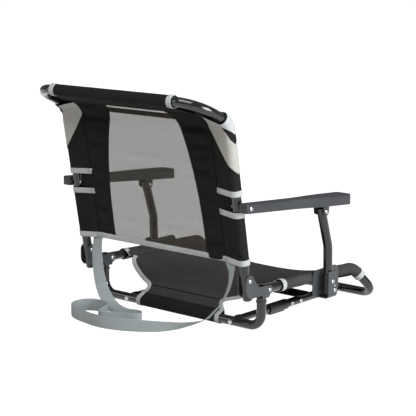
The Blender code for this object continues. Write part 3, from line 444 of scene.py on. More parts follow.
# %% [markdown]
# ## Camera and studio
# The picture looks at the chair from behind and from its right, a little from above, through a long
# lens.  The floor and the backdrop are white to the camera and pale to everything else, so the chair
# stands on white with only a soft shadow, and its gloss shows the same white room.

# %% Camera
IMAGE_PX = 416
FOCAL_PX = 1400
SENSOR_MM = 36
CAMERA_AT = Vector((2.16888, REAR_BAR_Y - 2.42478, 0.88976))
LOOKS_AT = Vector((0, REAR_BAR_Y + 0.10481, 0.24327))

camera_data = bpy.data.cameras.new("camera")
camera_data.sensor_width = SENSOR_MM
camera_data.lens = SENSOR_MM * FOCAL_PX / IMAGE_PX
camera = bpy.data.objects.new("camera", camera_data)
camera.location = CAMERA_AT
camera.rotation_euler = (LOOKS_AT - CAMERA_AT).to_track_quat("-Z", "Y").to_euler()
bpy.context.scene.collection.objects.link(camera)
bpy.context.scene.camera = camera
bpy.context.scene.view_settings.view_transform = "Standard"
print("lens", round(camera_data.lens, 1), "mm")


# %% White room
ROOM_LIGHT = 0.22
ROOM_SEEN = 1.05              # backdrop as the camera sees it
world = bpy.data.worlds.new("room")
bpy.context.scene.world = world
world.use_nodes = True
room = world.node_tree
strength = room.nodes.new("ShaderNodeMapRange")
strength.inputs["To Min"].default_value = ROOM_LIGHT
strength.inputs["To Max"].default_value = ROOM_SEEN
room.links.new(room.nodes.new("ShaderNodeLightPath").outputs["Is Camera Ray"], strength.inputs["Value"])
room.links.new(strength.outputs["Result"], room.nodes["Background"].inputs["Strength"])
room.nodes["Background"].inputs["Color"].default_value = (1, 1, 1, 1)

FLOOR_HALF = 6.0
FLOOR_DROP = 0.0004
FLOOR_WHITE = 0.86            # share of plain white in what the camera sees of the floor
FLOOR_SEEN = 1.25
floor_paint = bpy.data.materials.new("floor_paint")
floor_paint.use_nodes = True
paint = floor_paint.node_tree
matt = paint.nodes["Principled BSDF"]
matt.inputs["Base Color"].default_value = (0.62, 0.61, 0.58, 1)
matt.inputs["Roughness"].default_value = 1.0
matt.inputs["Specular IOR Level"].default_value = 0.0
white = paint.nodes.new("ShaderNodeEmission")
white.inputs["Strength"].default_value = FLOOR_SEEN
blend = paint.nodes.new("ShaderNodeMixShader")
rays = paint.nodes.new("ShaderNodeLightPath").outputs
eye = math_node(paint, "MAXIMUM", rays["Is Camera Ray"], rays["Is Glossy Ray"])
paint.links.new(math_node(paint, "MULTIPLY", eye, FLOOR_WHITE), blend.inputs["Fac"])
paint.links.new(matt.outputs[0], blend.inputs[1])
paint.links.new(white.outputs[0], blend.inputs[2])
paint.links.new(blend.outputs[0], paint.nodes["Material Output"].inputs["Surface"])
floor_edge = np.linspace(-FLOOR_HALF, FLOOR_HALF, 3)
floor_grid = np.stack(np.broadcast_arrays(floor_edge[None, :], floor_edge[:, None], -FLOOR_DROP), axis=2)
surface("floor", floor_grid, floor_paint)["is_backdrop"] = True
print("floor", 2 * FLOOR_HALF, "m square")


# %% Lamps
def lamp(name, at, size, power, colour=(1, 1, 1)):
    """Square soft box that faces the chair."""
    light = bpy.data.lights.new(name, "AREA")
    light.size = size
    light.energy = power
    light.color = colour
    holder = bpy.data.objects.new(name, light)
    holder.location = at
    holder.rotation_euler = (LOOKS_AT - Vector(at)).to_track_quat("-Z", "Y").to_euler()
    bpy.context.scene.collection.objects.link(holder)


lamp("key_right", (2.8, 0.0, 1.0), 1.6, 120, (0.95, 0.98, 1.0))
lamp("top_rear", (0.3, -1.6, 2.5), 2.0, 56)
lamp("fill_left", (-1.8, -2.2, 1.3), 1.4, 12, (1.0, 0.98, 0.95))
print("lamps:", len(bpy.data.lights))

# %% [markdown]
# ## Lines of the frame
# The other sizes are the chair's own: distances forward of the rear floor bar, heights above the
# floor, and the tube's radius. The back is measured along the upright, from the back pivot.

# %% Frame lines
TUBE_R = 0.011
TUBE_WALL = 0.0012
HALF_W = 0.250
CLOTH = 0.0014
SLEEVE_R = 0.0127
SIDES = (("left", -1), ("right", 1))

back_pivot = joint_at["back_fold"][1:]
arm_pivot = joint_at["arm_left_swing"][1:]
post_pivot = joint_at["post_left_swing"][1:]
POST_X = joint_at["post_right_swing"][0]
post_top = post_pivot + arm_pivot - back_pivot
up_back = unit(arm_pivot - back_pivot)


def on_side(y, z):
    """Height and distance forward of the rear floor bar, as Y and Z of the frame."""
    return np.array([y + REAR_BAR_Y, z])


def at_x(x, yz):
    """Point at a distance across, from a Y and Z."""
    return np.array([x, yz[0], yz[1]])


UPRIGHT_TAIL = 0.045
KNEE_Z = 0.497
upright_end = back_pivot - up_back * UPRIGHT_TAIL
knee = back_pivot + up_back * (KNEE_Z - back_pivot[1]) / up_back[1]
top_bar = on_side(-0.223, 0.545)
KNEE_BEND = 0.055
TOP_CORNER_BEND = 0.058
print("upright leans", round(math.degrees(math.atan2(-up_back[0], up_back[1])), 1), "degrees")

# %% [markdown]
# ## Tubes
# The frame is bent from round steel tube with a glossy dark coat.  A ring of points carried along the
# bent line makes the outside; the rings at the ends fold over the wall and a little way into the bore,
# so that an open end looks like tube and not like a solid bar.


# %% Tube builder
TUBE_SIDES = 40
BORE_SHOWN = 0.02
END_ROUND = 0.0005
END_RINGS, END_STEP = 5, 1e-4  # rings that close each end
PINHOLE = 1e-5


def ring(radius, sides=TUBE_SIDES):
    """Circle of points: radius times the cosine and sine of even angles."""
    angle = np.arange(sides) * math.tau / sides
    return np.stack([np.cos(angle), np.sin(angle)], axis=1) * radius


def tube(name, path, radius, towards):
    """Hollow tube: the ring's radius along the path is full in the middle, then at each end drops by
    the rounded edge, the wall and, inside the bore, to nothing."""
    begin, end = unit(path[0] - path[1]), unit(path[-1] - path[-2])
    bore = radius - TUBE_WALL
    head = [path[0] - begin * BORE_SHOWN] * 2 + [path[0], path[0], path[0] - begin * END_ROUND]
    tail = [path[-1] - end * END_ROUND, path[-1], path[-1]] + [path[-1] - end * BORE_SHOWN] * 2
    line = np.concatenate([head, path[1:-1], tail])
    size = np.concatenate([[PINHOLE, bore, bore, radius - END_ROUND], np.full(len(path), radius),
                           [radius - END_ROUND, bore, bore, PINHOLE]])
    drawn = drawn_out(path, begin, end)
    spokes = sweep(ring(1.0), drawn, towards) - drawn[:, None]
    grid = line[:, None] + spokes * size[:, None, None]
    grid[[0, -1]] = line[[0, -1], None]
    return surface(name, grid, TUBE_COAT, wrap=True)


def drawn_out(path, begin, end):
    """The path with five points at each end, drawn out a little along the tube, so that each has a
    direction."""
    step = np.arange(END_RINGS)[::-1, None] * END_STEP
    return np.concatenate([path[:1] + begin * step, path[1:-1], path[-1:] + end * step[::-1]])


def mirrored(half):
    """A right-hand run of corners followed by its mirror image, back to front."""
    half = np.asarray(half, float)
    return np.concatenate([half, half[::-1] * (-1, 1, 1)])


print("rings of", TUBE_SIDES, "points")

# %% Back, seat and base tubes
back_corners = mirrored([at_x(HALF_W, upright_end), at_x(HALF_W, knee), at_x(HALF_W, top_bar)])
back_line = fillet(back_corners, [KNEE_BEND, TOP_CORNER_BEND, TOP_CORNER_BEND, KNEE_BEND])
dress(tube("back_tube", back_line, TUBE_R, (0, -1, 0.3)), "back", "gunmetal_tube", "back_frame_tube")

RAIL_REAR = on_side(0.0045, 0.1010)
RAIL_FRONT = on_side(0.361, 0.0885)
FRONT_BAR = on_side(0.4310, TUBE_R)
FRONT_SPLAY = 0.025
RAIL_BEND, FLOOR_CORNER_BEND = 0.048, 0.034
seat_corners = mirrored([at_x(HALF_W, RAIL_REAR), at_x(HALF_W, RAIL_FRONT),
                         at_x(HALF_W + FRONT_SPLAY, FRONT_BAR)])
seat_tube_line = fillet(seat_corners, [RAIL_BEND, FLOOR_CORNER_BEND, FLOOR_CORNER_BEND, RAIL_BEND])
dress(tube("seat_tube", seat_tube_line, TUBE_R, (0.05, 0.2, 1)), "base", "gunmetal_tube", "seat_frame_tube")

BASE_BEND = 0.032
BASE_TOP_Z = 0.083
rear_bar = on_side(0, SLEEVE_R)
base_corners = mirrored([at_x(HALF_W, on_side(0, BASE_TOP_Z)), at_x(HALF_W, rear_bar)])
base_line = fillet(base_corners, [BASE_BEND, BASE_BEND])
dress(tube("base_tube", base_line, TUBE_R, (0, 1, 0)), "base", "gunmetal_tube", "rear_base_tube")
bent = (back_line, seat_tube_line, base_line)
print("bent tubes:", [round(float(travelled(line)[-1]), 3) for line in bent], "m")

# %% Arm posts
POST_KINK = on_side(0.2125, 0.1720)
POST_BEND, POST_SEAT, POST_HEAD = 0.035, 0.0125, 0.009
post_low, post_high = unit(POST_KINK - post_pivot), unit(post_top - POST_KINK)
for name, side in SIDES:
    run = [at_x(side * POST_X, p) for p in (post_pivot - post_low * POST_SEAT, POST_KINK,
                                           post_top + post_high * POST_HEAD)]
    post = tube(f"post_tube_{name}", fillet(run, [POST_BEND]), TUBE_R, (1, 0, 0))
    dress(post, f"post_{name}", "gunmetal_tube", f"post_{name}")
print("posts", round(float(np.linalg.norm(post_top - post_pivot)), 3), "m between pivots")

# %% Floor runners
for part in ("rear", "front"):
    for name, side in SIDES:
        node = f"runner_{part}_{name}"
        low, high = (np.array(corner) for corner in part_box(node))
        middle = (low + high) / 2
        ends = [middle * (1, 0, 1) + np.array([0, y, 0]) for y in (low[1], high[1])]
        line = np.linspace(*ends, 12)
        runner = tube(f"runner_tube_{part}_{name}", line, (high[0] - low[0]) / 2, (0, 0, 1))
        dress(runner, "base", "gunmetal_tube", node)

# %% [markdown]
# ## Rivets
# Bright domed rivet heads are the small sparks on this chair.  Each head is a low dome with a short
# straight rim: a profile turned about the rivet's axis.  The place and size come from the CAD rivet's
# own box, so head and hole stay together.


# %% Turned heads
SKEW = (0.3, 0.5, 0.8)        # any direction that no axis here has


def turned(name, radii, heights, seat, axis, finish_of, sides=28):
    """Surface of revolution: radius times the cosine and sine of the angle, square to the axis, plus
    the height along it."""
    axis = unit(np.asarray(axis, float))
    one = unit(np.cross(axis, SKEW))
    two = np.cross(axis, one)
    circle = ring(1.0, sides)
    spokes = circle[:, :1] * one + circle[:, 1:] * two
    grid = np.asarray(seat) + spokes[None] * np.asarray(radii)[:, None, None] + (
        axis * np.asarray(heights)[:, None])[:, None]
    return surface(name, grid, finish_of, wrap=True)


RIVET_RIM = 0.0005
RIVET_SHANK_R = 0.0030
HEAD_H = 0.0022


def dome(radius, height):
    """Radii and heights of a rivet head from its rim to its top: a quarter ellipse over the rim."""
    t = np.linspace(0, math.pi / 2, 9)
    return (np.concatenate([[radius], radius * np.cos(t)]),
            np.concatenate([[0], RIVET_RIM + (height - RIVET_RIM) * np.sin(t)]))


def rivet(node, axis, both_ends):
    """Shank with one or two domed heads, in the box of its CAD node."""
    low, high = (np.array(corner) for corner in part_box(node))
    middle = (low + high) / 2
    length = float(np.abs((high - low) @ axis))
    radius = float(((high - low) * (1 - np.abs(axis))).max()) / 2
    r, h = dome(radius, HEAD_H)
    top = length / 2 - HEAD_H
    if both_ends:
        radii = np.concatenate([r[::-1], [RIVET_SHANK_R, RIVET_SHANK_R], r])
        heights = np.concatenate([-top - h[::-1], [-top, top], top + h])
    else:
        radii = np.concatenate([[0, RIVET_SHANK_R, RIVET_SHANK_R], r])
        heights = np.concatenate([[-length / 2, -length / 2, top], top + h])
    return turned(f"{node}_bright", radii, heights, middle, axis, RIVET_STEEL)


bodies = frame["record"]["behaviour"]["bodies"]
body_of = {node: body for body, members in bodies.items() for node in members}
for stem, both_ends in (("back_pivot_rivet", True), ("rail_rivet", True), ("arm_pivot_rivet", True),
                        ("post_top_rivet", True), ("post_pivot_pin", False), ("post_stop_pin", False),
                        ("bracket_rivet", False), ("base_rivet", False), ("runner_rivet", True)):
    for node in sorted(n for n in frame["nodes"] if n.startswith(stem)):
        outward = (0, -1, 0) if stem == "base_rivet" else (-1 if "left" in node else 1, 0, 0)
        dress(rivet(node, np.array(outward, float), both_ends), body_of[node], "bright_rivet", node)

SMALL_RIVET_R, SMALL_RIVET_H = 0.0028, HEAD_H * 0.7
SMALL_RIVET_Y = 0.004         # forward of the middle between the two pins
PROUD = 1e-4                  # the head stands clear of the plate
cradle_face = max(abs(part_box("side_bracket_right")[1].x), abs(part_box("side_bracket_left")[0].x)) + PROUD
stop_low, stop_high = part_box("post_stop_pin_right")
stop_pin = np.array((stop_low + stop_high) / 2)[1:]
small_rivet = (post_pivot + stop_pin) / 2 + (SMALL_RIVET_Y, 0)
for name, side in SIDES:
    r, h = dome(SMALL_RIVET_R, SMALL_RIVET_H)
    middle = at_x(side * cradle_face, small_rivet)
    dress(turned(f"cradle_rivet_{name}", r, h, middle, (side, 0, 0), RIVET_STEEL), "base", "bright_rivet")

# %% [markdown]
# ## Pressed brackets and small mouldings
# Pressed steel and moulded plastic have no sharp edges.  Their CAD shapes are right, so each is copied,
# its loose triangles are joined back into whole faces, and a Bevel modifier rounds the edges.


# %% Rounded copies of CAD shapes
CAD_MERGE = 2e-5              # the copy's loose corners closer than this are one
FLAT = math.radians(1)        # triangles that turn less than this are one face
STEEL_EDGE, MOULDED_EDGE, BRACE_EDGE = 0.0006, 0.0007, 0.0010


def rounded_copy(node, finish_of, width, slot):
    """The CAD node's shape with its edges rounded."""
    mesh = frame["nodes"][node].data.copy()
    bm = bmesh.new()
    bm.from_mesh(mesh)
    bmesh.ops.remove_doubles(bm, verts=bm.verts, dist=CAD_MERGE)
    bmesh.ops.dissolve_limit(bm, angle_limit=FLAT, verts=bm.verts, edges=bm.edges)
    bm.to_mesh(mesh)
    bm.free()
    piece = place(f"{node}_rounded", mesh, finish_of)
    edge = piece.modifiers.new("edges", "BEVEL")
    edge.width = width
    edge.segments = 3
    edge.limit_method = "ANGLE"
    edge.angle_limit = SHARP
    edge.harden_normals = True
    return dress(piece, body_of[node], slot, node)


for name, _ in SIDES:
    for stem in ("hinge_bracket", "side_bracket"):
        rounded_copy(f"{stem}_{name}", BRACKET_PAINT, STEEL_EDGE, "bracket_grey")
    for stem in ("upright_cap", "runner_end", "runner_joiner", "post_sleeve", "arm_spacer"):
        rounded_copy(f"{stem}_{name}", BLACK_MOULDING, MOULDED_EDGE, "black_plastic")
rounded_copy("cross_brace", BLACK_MOULDING, BRACE_EDGE, "black_plastic")

# %% Collar on each upturned base end
COLLAR_R, COLLAR_H, COLLAR_Z = 0.0124, 0.006, 0.071
for name, side in SIDES:
    radii = np.array([TUBE_R, COLLAR_R - END_ROUND, COLLAR_R, COLLAR_R, COLLAR_R - END_ROUND, TUBE_R])
    heights = np.array([0, 0, END_ROUND, COLLAR_H - END_ROUND, COLLAR_H, COLLAR_H])
    dress(turned(f"base_collar_{name}", radii, heights, at_x(side * HALF_W, on_side(0, COLLAR_Z)), (0, 0, 1),
                 TUBE_COAT, TUBE_SIDES), "base", "gunmetal_tube")
print("collars at", COLLAR_Z, "m")

# %% [markdown]
# ## Armrests
# Each armrest is one moulding: narrow at the back, broad and rounded at the front, open below, with two
# ears that hold the post.  Its plan outline shrinks evenly when it is inset, so one outline function
# gives the rounded top edge, the outer wall, the rim and the hollow: every column of the grid is the
# outline at its own inset, lifted to its own height.

# %% Armrest surface
ARM_REAR, ARM_TIP_Y = 0.0140, 0.277
ARM_REAR_W, ARM_FRONT_W = 0.024, 0.045
ARM_WIDEN_FROM, ARM_WIDEN_TO = 0.15, 0.31
ARM_REAR_H, ARM_FRONT_H = 0.022, 0.0255
ARM_TOP_REAR_Z, ARM_TOP_FRONT_Z = 0.3180, 0.2910
ARM_SPACER_T, ARM_PLAY = 0.0040, 0.0006
ARM_REAR_X = HALF_W + TUBE_R + ARM_SPACER_T + ARM_REAR_W / 2 + ARM_PLAY
ARM_WALL = 0.0030
ARM_TIP_ROUND, ARM_REAR_ROUND = 0.011, 0.005
ARM_TOP_ROUND, ARM_RIM_ROUND = 0.0034, 0.0012
arm_rear_y = arm_pivot[0] - ARM_REAR
arm_tip_y = ARM_TIP_Y + REAR_BAR_Y
arm_length = arm_tip_y - arm_rear_y


def arm_half(along):
    """Half width: a smoothstep from the rear width to the front width."""
    t = np.clip((along - ARM_WIDEN_FROM) / (ARM_WIDEN_TO - ARM_WIDEN_FROM), 0, 1)
    return (ARM_REAR_W + (ARM_FRONT_W - ARM_REAR_W) * t * t * (3 - 2 * t)) / 2


def arm_outline(inset):
    """Half outline from the rear end to the tip at an inset: a quarter circle, the widening side and a
    quarter circle; its first and last points lie on the middle line."""
    turn = np.linspace(0, math.pi / 2, 10)
    rear = np.stack([arm_half(0) - ARM_REAR_ROUND + (ARM_REAR_ROUND - inset) * np.sin(turn),
                     arm_rear_y + ARM_REAR_ROUND - (ARM_REAR_ROUND - inset) * np.cos(turn)], axis=1)
    along = np.linspace(ARM_REAR_ROUND, arm_length - ARM_TIP_ROUND, 60)[1:-1]
    side = np.stack([arm_half(along) - inset, arm_rear_y + along], axis=1)
    tip = np.stack([arm_half(arm_length) - ARM_TIP_ROUND + (ARM_TIP_ROUND - inset) * np.cos(turn),
                    arm_tip_y - ARM_TIP_ROUND + (ARM_TIP_ROUND - inset) * np.sin(turn)], axis=1)
    return np.concatenate([rear[:1] * (0, 1), rear, side, tip, tip[-1:] * (0, 1)])


def arm_top(y):
    """Height of the top: a straight line from rear to tip."""
    return ARM_TOP_REAR_Z + (ARM_TOP_FRONT_Z - ARM_TOP_REAR_Z) * (y - arm_rear_y) / arm_length


def arm_bottom(y):
    """Height of the rim: the top less a depth that grows evenly."""
    return arm_top(y) - ARM_REAR_H - (ARM_FRONT_H - ARM_REAR_H) * (y - arm_rear_y) / arm_length


def arm_columns():
    """Half profile from the middle of the top, over the rounded edge, down the wall, round the rim and
    up the hollow: (share of the half width, inset, height level, height above that level)."""
    columns = [(share, ARM_TOP_ROUND, arm_top, 0) for share in (0, 0.35, 0.7, 1)]
    top, rim = ARM_TOP_ROUND, ARM_RIM_ROUND
    columns += [(1, top * (1 - math.sin(turn)), arm_top, -top * (1 - math.cos(turn)))
                for turn in np.linspace(0, math.pi / 2, 6)[1:]]
    columns += [(1, rim * (1 - math.cos(turn)), arm_bottom, rim * (1 - math.sin(turn)))
                for turn in np.linspace(0, math.pi / 2, 4)]
    columns += [(1, ARM_WALL, arm_bottom, 0), (1, ARM_WALL, arm_top, -ARM_WALL)]
    return columns + [(share, ARM_WALL, arm_top, -ARM_WALL) for share in (0.6, 0.3, 0)]


def arm_axis(y):
    """Distance of the armrest's middle line from the middle plane: it runs out to the post."""
    t = np.minimum(1, (y - arm_pivot[0]) / (post_top[0] - arm_pivot[0]))
    return ARM_REAR_X + (POST_X - ARM_REAR_X) * t


def arm_shell(side):
    """Grid of the whole moulding: each column is its outline at its height, on both sides of the
    arm's own middle line."""
    half = []
    for share, inset, level, rise in arm_columns():
        outline = arm_outline(inset)
        half.append(np.stack([outline[:, 0] * share, outline[:, 1], level(outline[:, 1]) + rise], axis=1))
    half = np.stack(half, axis=1)
    other = half[:, ::-1] * (-1, 1, 1)
    grid = np.concatenate([half, other[:, 1:-1]], axis=1)
    grid[..., 0] += arm_axis(grid[..., 1])
    return grid * (side, 1, 1)


EAR_R, EAR_T = 0.0105, 0.0040
EAR_GAP = 0.0003              # between an ear and the post
EAR_LAYERS = ((0, 0), (0, 0.93), (0.12, 1), (0.88, 1), (1, 0.93), (1, 0))   # shares of thickness and size


def arm_ear(name, x, thickness):
    """Ear plate: a half round below and straight sides up into the roof, inset at both faces."""
    angle = np.linspace(math.pi, math.tau, 25)
    low = np.stack([post_top[0] + EAR_R * np.cos(angle), post_top[1] + EAR_R * np.sin(angle)], axis=1)
    roof_y = post_top[0] + np.linspace(EAR_R, -EAR_R, 5)
    roof = np.stack([roof_y, arm_top(roof_y) - ARM_WALL / 2], axis=1)
    outline = np.concatenate([low, roof])
    middle = outline.mean(0)
    layers = []
    for share, inset in EAR_LAYERS:
        loop = middle + (outline - middle) * inset
        layers.append(np.concatenate([np.full((len(loop), 1), x + thickness * share), loop], axis=1))
    return surface(name, np.stack(layers), ARM_MOULDING, wrap=True)


for name, side in SIDES:
    shell = surface(f"arm_shell_{name}", arm_shell(side), ARM_MOULDING, wrap=True)
    gap = TUBE_R + EAR_GAP
    ears = [arm_ear(f"ear_{name}_{k}", side * POST_X + k * gap, k * EAR_T) for k in (-1, 1)]
    dress(join(f"arm_moulding_{name}", [shell] + ears), f"arm_{name}", "arm_plastic", f"armrest_{name}")
print("armrest", round(arm_length, 3), "m long")

# %% [markdown]
# ## Back sling
# The back is sewn from a see-through net in the middle, a black panel on each side, and sleeves that
# wrap the uprights and the top bar.  The panels lie on one surface: a point at a distance across and a
# distance along the bent upright.  Shallow ripples run across the black panels, where the cloth is
# pulled between its seams.

# %% Surface of the back
S_HEM = 0.040             # along the upright, from the back pivot
S_ARM = float(np.linalg.norm(arm_pivot - back_pivot))
ARM_GAP_DOWN, ARM_GAP_UP = 0.012, 0.027
SEAM_IN = 0.052
PANEL_HALF = HALF_W - SEAM_IN
side_line = fillet([at_x(0, upright_end), at_x(0, knee), at_x(0, top_bar)], [KNEE_BEND])
S_BAR = travelled(side_line)[-1] - UPRIGHT_TAIL
PANEL_END = S_BAR - 0.061  # where each cloth ends below the top bar
SLEEVE_END = PANEL_END - 0.034
NET_TOP = S_BAR - 0.078
PANEL_TOP = S_BAR - 0.013
SLOPE_STEP = 0.004        # to each side, when the slope is measured


def back_point(x, s, rear=0.0):
    """Point of the back at x across and s along the upright, moved rearward along the normal."""
    s, x, rear = np.broadcast_arrays(s, x, rear)
    done = travelled(side_line) - UPRIGHT_TAIL

    def on_line(at):
        """Y and Z of the upright's line at a length."""
        return np.stack([np.interp(at, done, side_line[:, k]) for k in (1, 2)])

    y, z = on_line(s)
    dy, dz = on_line(s + SLOPE_STEP) - on_line(s - SLOPE_STEP)
    size = np.hypot(dy, dz)
    return np.stack([x, y - rear * dz / size, z + rear * dy / size], axis=-1)


def back_normal(x, s):
    """Direction straight out of the back, rearward."""
    return back_point(x, s, 1.0) - back_point(x, s)


def corner_x(s):
    """Distance of the tube's axis from the middle plane: straight up the upright, then round the top
    corner's circle."""
    over = np.clip(s - (S_BAR - TOP_CORNER_BEND), 0, TOP_CORNER_BEND)
    return HALF_W - TOP_CORNER_BEND + np.sqrt(TOP_CORNER_BEND ** 2 - over ** 2)


MESH_BOTTOM_HALF, MESH_TOP_HALF, MESH_TAPER = 0.147, 0.086, 2.6


def net_half(s):
    """Half width of the net: it narrows faster towards the top."""
    t = np.clip((s - S_HEM) / (PANEL_END - S_HEM), 0, 1)
    return MESH_BOTTOM_HALF + (MESH_TOP_HALF - MESH_BOTTOM_HALF) * t ** MESH_TAPER


RIPPLES = ((0.034, 0.0008, 0.3, 1.1), (0.021, 0.0005, 1.7, -2.3), (0.057, 0.0011, 0.9, 0.7))


def ripple(x, s):
    """Sum of shallow waves across the cloth: (length, height, phase, lean) each."""
    return sum(height * np.sin(math.tau * (s / length + lean * x) + phase)
               for length, height, phase, lean in RIPPLES)


print("back sling", round(float(S_BAR - S_HEM), 3), "m from hem to bar")

# %% Net and side panels
NET_LAP, NET_T = 0.004, 0.0006
NET_RIPPLE, PANEL_RIPPLE = 0.35, 3.0      # panels ripple more than the net
RIPPLE_FADE, RIPPLE_SHIFT = 0.7, 0.31     # power at the seams, and how far the two panels differ
SEAM_LAP = 0.0011         # a panel lies this far behind the cloth that it laps
PANEL_LAP = 0.002         # over the net's edge
TUBE_CLEAR = 0.0025       # panel edge to the upright
s_net = np.linspace(S_HEM, NET_TOP, 90)[:, None]
k_net = np.linspace(-1, 1, 41)[None, :]
x_net = k_net * (net_half(s_net) + NET_LAP)
net = surface("back_net_panel", back_point(x_net, s_net, NET_RIPPLE * ripple(x_net, s_net)), BACK_NET)
dress(thicken(net, NET_T), "back", "mesh_cloth", "back_mesh_panel")
s_panel = np.linspace(S_HEM, PANEL_TOP, 150)[:, None]
k_panel = np.linspace(0, 1, 33)[None, :]
panels = {}


def panel_rear(side, x, s):
    """How far behind the net's plane a side panel lies: ripples that die out at both seams, and a lap over
    the net that fades towards the upright."""
    inner = net_half(s)
    slack = np.clip((PANEL_HALF - np.abs(x)) / (PANEL_HALF - inner), 0, 1)
    waves = PANEL_RIPPLE * ripple(x + RIPPLE_SHIFT * side, s) * np.sin(math.pi * slack) ** RIPPLE_FADE
    return waves + SEAM_LAP * slack


for name, side in SIDES:
    inner = net_half(s_panel) - PANEL_LAP
    outer = corner_x(s_panel) - TUBE_R - TUBE_CLEAR
    x = side * (inner + (outer - inner) * k_panel)
    grid = back_point(x, s_panel, panel_rear(side, x, s_panel))
    panels[name] = thicken(surface(f"back_panel_{name}", grid, BLACK_CANVAS), CLOTH)
    dress(panels[name], "back", "black_cloth", f"back_side_panel_{name}")
print("net", net.dimensions[:], "panels", len(panels))

# %% [markdown]
# A sleeve is cloth folded round a tube and sewn to itself: seen from its end it is a teardrop, the arc of
# a circle and the two straight lines that leave it and meet at the seam.


# %% Sleeves
def teardrop(radius, tail, arc=40, run=10):
    """Open profile from the seam, along a tangent to the circle, round it, and back to the seam.  The
    tangent touches the circle at the angle whose cosine is radius over tail."""
    touch = math.acos(radius / tail)
    angle = np.linspace(touch, math.tau - touch, arc)
    loop = np.stack([np.cos(angle), np.sin(angle)], axis=1) * radius
    along = np.linspace(0, 1, run)[:-1, None]
    seam = np.array([[tail, 0.0]])
    leave, meet = seam + (loop[:1] - seam) * along, loop[-1:] + (seam - loop[-1:]) * along[1:]
    return np.concatenate([leave, loop, meet, seam])


CREASE, CREASE_WAVES = 0.12, 5
SEAM_GRIP = 3             # how quickly the creases die out at the seam


def pucker(rows, cols, seed):
    """Small soft creases, as waves whose phase drifts round the sleeve."""
    draw = np.random.default_rng(seed)
    v, u = np.mgrid[0:1:rows * 1j, 0:1:cols * 1j]
    total = np.zeros((rows, cols))
    for _ in range(CREASE_WAVES):
        f, g, phase = draw.uniform(2, 9), draw.uniform(-2, 2), draw.uniform(0, math.tau)
        total += np.sin(math.tau * (f * v + g * u) + phase)
    return 1 + CREASE * total / CREASE_WAVES


def sleeve(name, path, inward, tail, finish_of, radius=SLEEVE_R, seed=None, wall=CLOTH):
    """Teardrop carried along a tube's line.  Soft creases run where the cloth is loose, between the tube
    and the seam."""
    outline = teardrop(radius, tail)
    rows, columns = len(path), len(outline)
    profile = np.broadcast_to(outline, (rows, columns, 2))
    if seed is not None:
        out = profile[..., :1]
        loose = np.clip((out + radius) / tail, 0, 1) * np.clip((tail - out) / tail * SEAM_GRIP, 0, 1)
        crease = pucker(rows, columns, seed)[..., None] - 1
        profile = profile * (1 + crease * loose * (0, 1))
    return thicken(surface(name, sweep(profile, path, inward), finish_of), wall)


def upright_line(side, begin, end, count):
    """Points of an upright's axis between two lengths from the back pivot."""
    return stretch(side_line, begin + UPRIGHT_TAIL, end + UPRIGHT_TAIL, count) + (side * HALF_W, 0, 0)


# Each run of sleeve: begin and end along the upright, rows, and the start of its random draws.
SLEEVE_RUNS = {"lower": (S_HEM, S_ARM - ARM_GAP_DOWN, 60, 11),
               "upper": (S_ARM + ARM_GAP_UP, SLEEVE_END, 80, 21)}
for name, side in SIDES:
    for where, (begin, end, rows, draw) in SLEEVE_RUNS.items():
        line = upright_line(side, begin, end, rows)
        piece = sleeve(f"back_sleeve_{where}_{name}_sewn", line, (-side, 0, 0), SEAM_IN, BLACK_CANVAS,
                       seed=draw + side)
        dress(piece, "back", "black_cloth", f"back_sleeve_{where}_{name}")

TOP_SLEEVE_HALF = 0.186
TOP_TAIL = 0.084
curl = unit(at_x(0, knee) - at_x(0, top_bar))
top_line = np.linspace(at_x(-TOP_SLEEVE_HALF, top_bar), at_x(TOP_SLEEVE_HALF, top_bar), 90)
top_sleeve = sleeve("back_top_sleeve_sewn", top_line, curl, TOP_TAIL, BLACK_CANVAS, seed=5)
dress(top_sleeve, "back", "black_cloth", "back_top_sleeve")

# %% [markdown]
# Grey tape binds every raw edge: a ring at each sleeve end, and a folded tape along the bottom hem.  A
# ring is the sleeve's own teardrop, a little larger and only as long as the tape is wide.

# %% Binding rings on the back
TAPE_W, TAPE_T = 0.0135, 0.0012
TAPE_OVER = 0.0006        # tape stands this far over the cloth
EDGE_OVER = 0.0015        # tape reaches this far past the raw edge
RING_TAIL, TOP_RING_TAIL = SEAM_IN + 0.003, 0.026
TAPE_FROM = {"hem": S_HEM - EDGE_OVER, "arm_low": S_ARM - ARM_GAP_DOWN - TAPE_W + EDGE_OVER,
             "arm_high": S_ARM + ARM_GAP_UP - EDGE_OVER}      # along the upright


def tape_ring(name, path, inward, tail, body, radius=SLEEVE_R):
    """Short teardrop ring of tape over a sleeve end."""
    piece = sleeve(name, path, inward, tail, BINDING, radius=radius + CLOTH / 2 + TAPE_OVER, wall=TAPE_T)
    return dress(piece, body, "webbing")


for name, side in SIDES:
    for where, begin in TAPE_FROM.items():
        line = upright_line(side, begin, begin + TAPE_W, 8)
        tape_ring(f"back_tape_{where}_{name}", line, (-side, 0, 0), RING_TAIL, "back")
    raw = side * TOP_SLEEVE_HALF
    ends = (at_x(x, top_bar) for x in (raw - side * (TAPE_W - EDGE_OVER), raw + side * EDGE_OVER))
    tape_ring(f"back_tape_top_{name}", np.linspace(*ends, 8), curl, TOP_RING_TAIL, "back")
print("rings on the back:", len(SIDES) * (len(TAPE_FROM) + 1))


# %% Bottom hem
def oval(width, thickness, count=20):
    """Closed flat oval, the fourth-power kind: cosine and sine to the half power."""
    angle = np.arange(count) * math.tau / count
    across, over = (np.sign(wave) * np.sqrt(np.abs(wave)) for wave in (np.cos(angle), np.sin(angle)))
    return np.stack([across * width / 2, over * thickness / 2], axis=1)


def tape_edge(name, path, across, width, body, thickness=0.0042):
    """Folded tape over a raw edge: a flat oval along the edge's line."""
    grid = closed_ends(sweep(oval(width, thickness), path, across))
    return dress(surface(name, grid, BINDING, wrap=True), body, "webbing")


